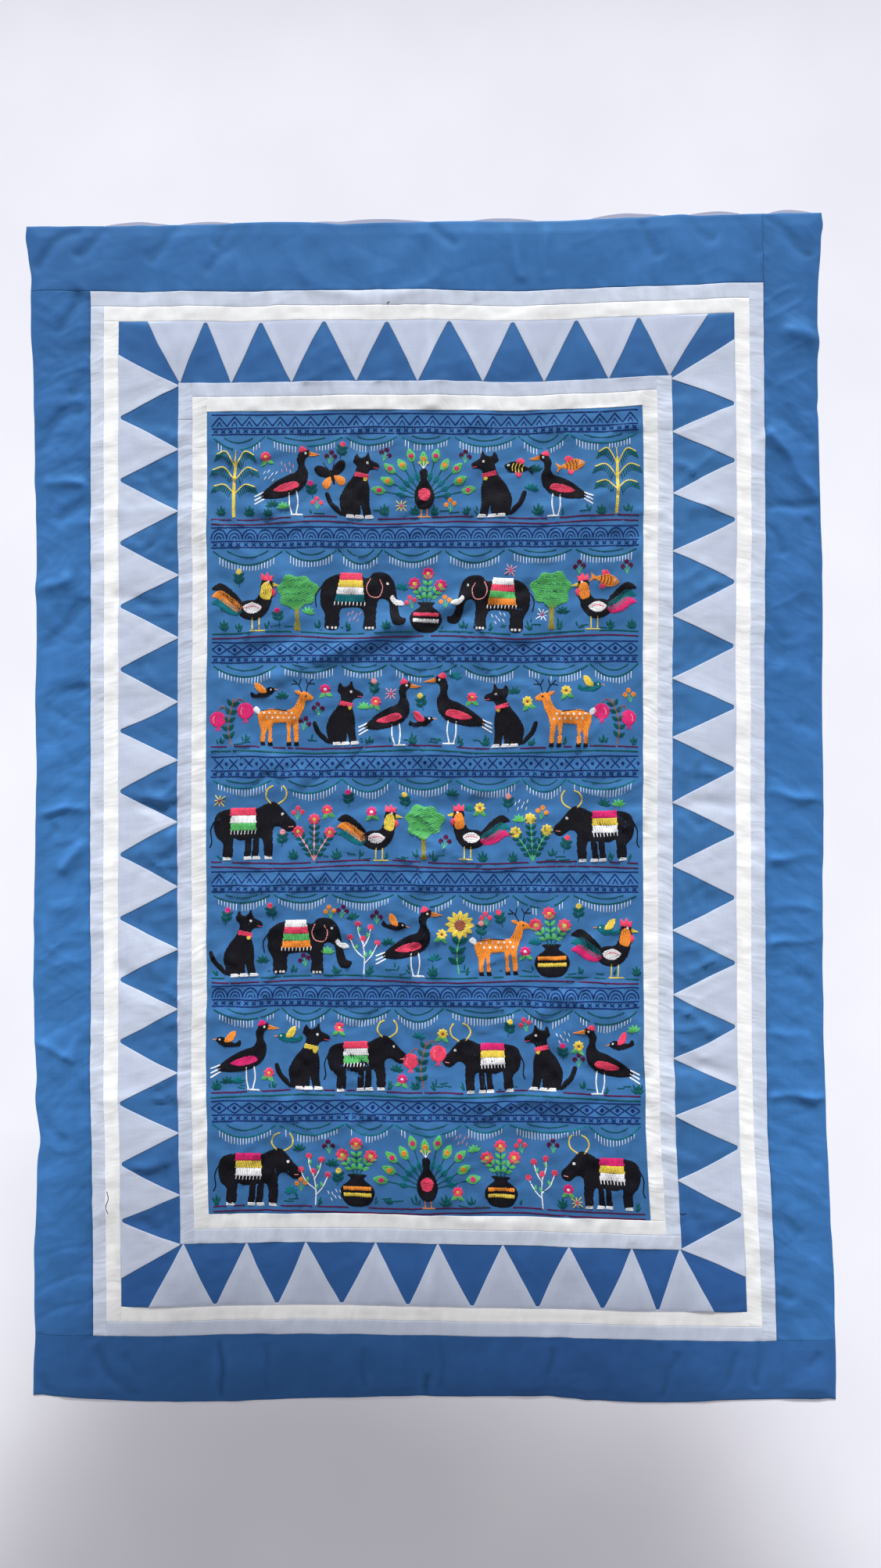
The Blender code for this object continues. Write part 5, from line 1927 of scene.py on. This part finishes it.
def thread_ribbons(rows, stations, rng):
    """Turn stitches into arched ribbons: their points, faces, shades and UVs."""
    where, lifts, widths = stations
    start, end, width, layer = rows[:, 0:2], rows[:, 2:4], rows[:, 4], rows[:, 5]
    way = end - start
    length = np.maximum(np.hypot(way[:, 0], way[:, 1]), 1e-6)
    side = np.stack((-way[:, 1], way[:, 0]), axis=1) / length[:, None]
    rise = THREAD_RISE * rng.uniform(0.85, 1.15, len(rows))
    place = start[:, None, None, :] + way[:, None, None, :] * where[None, :, None, None]
    wide = width[:, None, None] * widths[None, :, None] * ACROSS[None, None, :]
    place = place + side[:, None, None, :] * wide[..., None]
    lift = rise[:, None, None] * lifts[None, :, None] * ACROSS_LIFT[None, None, :]
    lift = lift * np.clip(width, 0.6, 1.2)[:, None, None] + LAYER_RISE * layer[:, None, None] + 0.18
    u, v = place[..., 0].ravel(), place[..., 1].ravel()
    points = lay(u, v, FRONT_TOP + relief(u, v) + lift.ravel())
    per = len(where) * len(ACROSS)
    faces = grid_faces(len(where), len(ACROSS))[None] + per * np.arange(len(rows))[:, None, None]
    shade = np.repeat(rng.uniform(0.25, 0.75, len(rows)), per)
    run = np.broadcast_to(length[:, None, None] * where[None, :, None], lift.shape).ravel()
    over = np.broadcast_to(ACROSS[None, None, :], lift.shape).ravel()
    return points, faces.reshape(-1, 4)[:, ::-1], shade, np.stack((run, over), axis=1)


def lay_threads(name, rows, material):
    """Lay one colour's stitches on the cloth as one piece."""
    rows = np.array(rows)
    rng = np.random.default_rng(len(rows))
    is_short = np.hypot(*(rows[:, 2:4] - rows[:, 0:2]).T) < SHORT_LENGTH
    made = [thread_ribbons(rows[picked], stations, rng)
            for picked, stations in ((is_short, SHORT), (~is_short, LONG)) if picked.any()]
    starts = np.cumsum([0] + [len(points) for points, _, _, _ in made])
    faces = np.concatenate([part[1] + start for part, start in zip(made, starts)])
    points, shade, uvs = (np.concatenate([part[index] for part in made]) for index in (0, 2, 3))
    piece = new_piece(f"embroidery_{name}", points, faces, material, {"shade": shade}, uvs)


# Stage

# The floor: its size, and the painted shade past its far edge: where it starts, how soft and how much
# dimmer
FLOOR_SIZE = 30.0
FLOOR_PAINTED_SHADE = (0.965, 0.035, 0.14)

# The camera's height, its lens and the place on the pattern right under it
CAMERA_HEIGHT = 1.38
CAMERA_LENS = 26.08
VIEW_MIDDLE = (18.5, 32.8)


def make_floor():
    """A wide pale floor with the faintest mottling, and painted shade past its far edge."""
    nodes = Nodes("pale_floor")
    place, (_, y, _) = nodes.place()
    mottled = nodes.mix(nodes.noise(place, 4.5, 4.0), toned((232, 230, 242)), toned((247, 247, 254)))
    far_edge, softness, share = FLOOR_PAINTED_SHADE
    painted_shade_floor = nodes.dim(mottled, 1.0 - soft_edge(y - far_edge, softness) * share)
    nodes.feed(nodes.shader, {"Base Color": painted_shade_floor, "Roughness": 0.7, "Specular IOR Level": 0.2})
    half = FLOOR_SIZE / 2
    rim = ((-half, -half, 0), (half, -half, 0), (half, half, 0), (-half, half, 0))
    floor = new_mesh("floor", rim, [(0, 1, 2, 3)], nodes.material)
    floor.location = (0, 0, -0.2 * MM)


def make_camera():
    """Look straight down on the cloth, as the photograph does."""
    data = bpy.data.cameras.new("camera")
    data.lens = CAMERA_LENS
    camera = new_object("camera", data)
    camera.location = (VIEW_MIDDLE[0] * MM + SHIFT_X, VIEW_MIDDLE[1] * MM + SHIFT_Y, CAMERA_HEIGHT)
    bpy.context.scene.camera = camera


# The key light: its height over the floor and its bearing from the top edge, in degrees, how far it
# stands off, how wide it is and its strength and colour
KEY_HEIGHT = 23
KEY_BEARING = 4
KEY_DISTANCE = 5
KEY_SPREAD = 11
KEY_STRENGTH = 4.9
KEY_COLOUR = (0.97, 1.0, 1.0)

# A soft box on each side: how far aside, how far along the cloth and how high, its size and power
SOFT_BOXES = {"left_box": -1.75, "right_box": 1.75}
BOX_ALONG, BOX_HEIGHT = -0.1, 1.6
BOX_SIZE = (0.8, 1.2)
BOX_POWER = 10.5

# The light all round
WORLD_COLOUR = (1.0, 0.955, 1.0, 1.0)
WORLD_STRENGTH = 0.2

# A card between the key light and the cloth's lower edge, which lies in shade in the photograph:
# where it stands, its left, right, bottom and top, and the most that it holds back
CARD_Y = -0.35
CARD_RECTANGLE = (-0.75, 0.65, 0.02, 0.5)
CARD_DENSITY = 0.97

# The soft edges of its shade on the floor: where each lies, how it slants and how soft it is. The
# top edge has two, each with its share, and slants about a place. The side edges start to slant at
# a level, and each has the way that it faces.
SHADE_TOP = ((-0.452, 0.12, 0.05, 0.54), (-0.655, 0.07, 0.010, 0.46))
SHADE_PIVOT = -0.232
SHADE_SIDES = ((0.355, 0.55, 0.060, -0.79, 1), (-0.445, 0.7, 0.055, -0.725, -1))

# A lighter patch in it: its place, how far it reaches across and along, and its share; and where
# the whole shade clears again, how softly and by what share
SHADE_PATCH = (0.18, -0.72, 0.14, 0.065, 0.36)
SHADE_CLEARING = (-0.88, 0.04, 0.10)


def soft_edge(distance, softness):
    """Rise from 0 to 1 across an edge, by how far past it a place is."""
    return (distance * (0.5 / softness)).do("TANH") * 0.5 + 0.5


def card_material():
    """A filter that is densest in its middle and clears softly towards its edges."""
    nodes = Nodes("shade_filter")
    _, (x, _, z) = nodes.place()
    reach = 1 / math.tan(math.radians(KEY_HEIGHT))
    c, s = compass(KEY_BEARING)
    x, y = x + z * (reach * s), CARD_Y - z * (reach * c)
    upper, lower = [
        soft_edge(place + slant * SHADE_PIVOT - x * slant - y, softness) * share
        for place, slant, softness, share in SHADE_TOP
    ]
    density = (upper + lower) * CARD_DENSITY
    for place, slant, softness, start, way in SHADE_SIDES:
        line = (start - y).do("MAXIMUM", 0.0) * (slant * way) + place
        density = density * soft_edge((line - x) * way, softness)
    patch_x, patch_y, across, down, share = SHADE_PATCH
    off_x, off_y = (x - patch_x) / across, (y - patch_y) / down
    patch = ((off_x * off_x + off_y * off_y) * -1.0).do("EXPONENT")
    place, softness, cleared = SHADE_CLEARING
    density = density * (1.0 - patch * share) * (1.0 - soft_edge(place - y, softness) * cleared)
    clear = nodes.add("BsdfTransparent", {"Color": 1.0 - density})
    nodes.feed(nodes.tree.nodes["Material Output"], {"Surface": clear})
    return nodes.material


def make_card():
    """Hang the card that shades the cloth's lower edge, out of every view."""
    left, right, bottom, top = CARD_RECTANGLE
    rim = [(x, CARD_Y, z) for x, z in ((left, bottom), (right, bottom), (right, top), (left, top))]
    card = new_mesh("shade_card", rim, [(0, 1, 2, 3)], card_material())
    card.visible_camera = False
    card.visible_diffuse = False
    card.visible_glossy = False


def add_lamp(name, kind, place, target):
    """Add a lamp that points from its place at a target."""
    data = bpy.data.lights.new(name, kind)
    lamp = new_object(name, data)
    lamp.location = place
    lamp.rotation_mode = "QUATERNION"
    lamp.rotation_quaternion = Vector(np.array(target) - np.array(place)).to_track_quat("-Z", "Y")
    return data


def make_lights():
    """A low broad light from past the cloth's top edge, two soft boxes and a pale surround."""
    (flat, up), (c, s) = compass(KEY_HEIGHT), compass(KEY_BEARING)
    key = add_lamp("key", "SUN", KEY_DISTANCE * np.array((-s * flat, c * flat, up)), (0, 0, 0))
    key.angle = math.radians(KEY_SPREAD)
    key.energy = KEY_STRENGTH
    key.color = KEY_COLOUR
    for name, aside in SOFT_BOXES.items():
        box = add_lamp(name, "AREA", (aside, BOX_ALONG, BOX_HEIGHT), (0, BOX_ALONG, 0))
        box.shape = "RECTANGLE"
        box.size, box.size_y = BOX_SIZE
        box.energy = BOX_POWER
        box.use_shadow = False
    world = bpy.data.worlds.new("soft_world")
    world.use_nodes = True
    background = world.node_tree.nodes["Background"]
    background.inputs["Color"].default_value = WORLD_COLOUR
    background.inputs["Strength"].default_value = WORLD_STRENGTH
    bpy.context.scene.world = world
    bpy.context.scene.view_settings.view_transform = "Standard"


# Cottons: the cloth's colour and its other tone, how uneven it is and its sheen, then for the blue
# ones how rough and how glossy they are and the tint of their gloss
COTTONS = {
    "border_blue": ((61, 113, 176), (47, 82, 141), 0.5, 0.25, 0.66, 0.34, BLUE_GLINT),
    "ground_blue": ((61, 107, 162), (49, 87, 149), 0.5, 0.2, 0.60, 0.42, BLUE_GLINT),
    "pale_strip": ((183, 191, 213), (208, 216, 232), 0.35, 0.06),
    "white_strip": ((235, 236, 241), (253, 252, 253), 0.25, 0.08),
    "lining_cotton": ((168, 172, 196), (168, 172, 196), 0.3, 0.08),
}

# Rings as they are laid: the height of the face, how far its inner and its outer rim drop, the
# grid's step, the cotton and what the strips lie on
LAYERS = (
    ("border", FRONT_TOP, SEAM_DROP, HEM_DROP, BORDER_STEP, "border_blue", ["lining_cloth"]),
    ("outer_pale", FRONT_TOP, SEAM_DROP, SEAM_DROP, STRIP_STEP, "pale_strip", ["lining_cloth"]),
    ("outer_white", FRONT_TOP, SEAM_DROP, SEAM_DROP, STRIP_STEP, "white_strip", ["lining_cloth"]),
    ("inner_pale", OVERLAY_TOP, SEAM_DROP, OVERLAY_DROP, STRIP_STEP, "pale_strip", ["ground"]),
    ("inner_white", OVERLAY_TOP, OVERLAY_DROP, SEAM_DROP, STRIP_STEP, "white_strip", ["ground"]),
)

sew_design()
sew_loose_ends()
RELIEF = make_relief()
cottons = {name: cloth_material(name, *settings) for name, settings in COTTONS.items()}

make_camera()
make_floor()
make_card()
make_lights()
lay_lining()
lay_rectangle("ground", RECTANGLES["band"], FRONT_TOP, (SEAM_DROP,) * 4, GROUND_STEP, "ground_blue")
for layer in LAYERS:
    lay_ring(*layer)
for strip in TEETH:
    lay_teeth(*strip)
for name, colour in THREADS.items():
    lay_threads(name, stitches[name], thread_material(f"thread_{name}", colour))
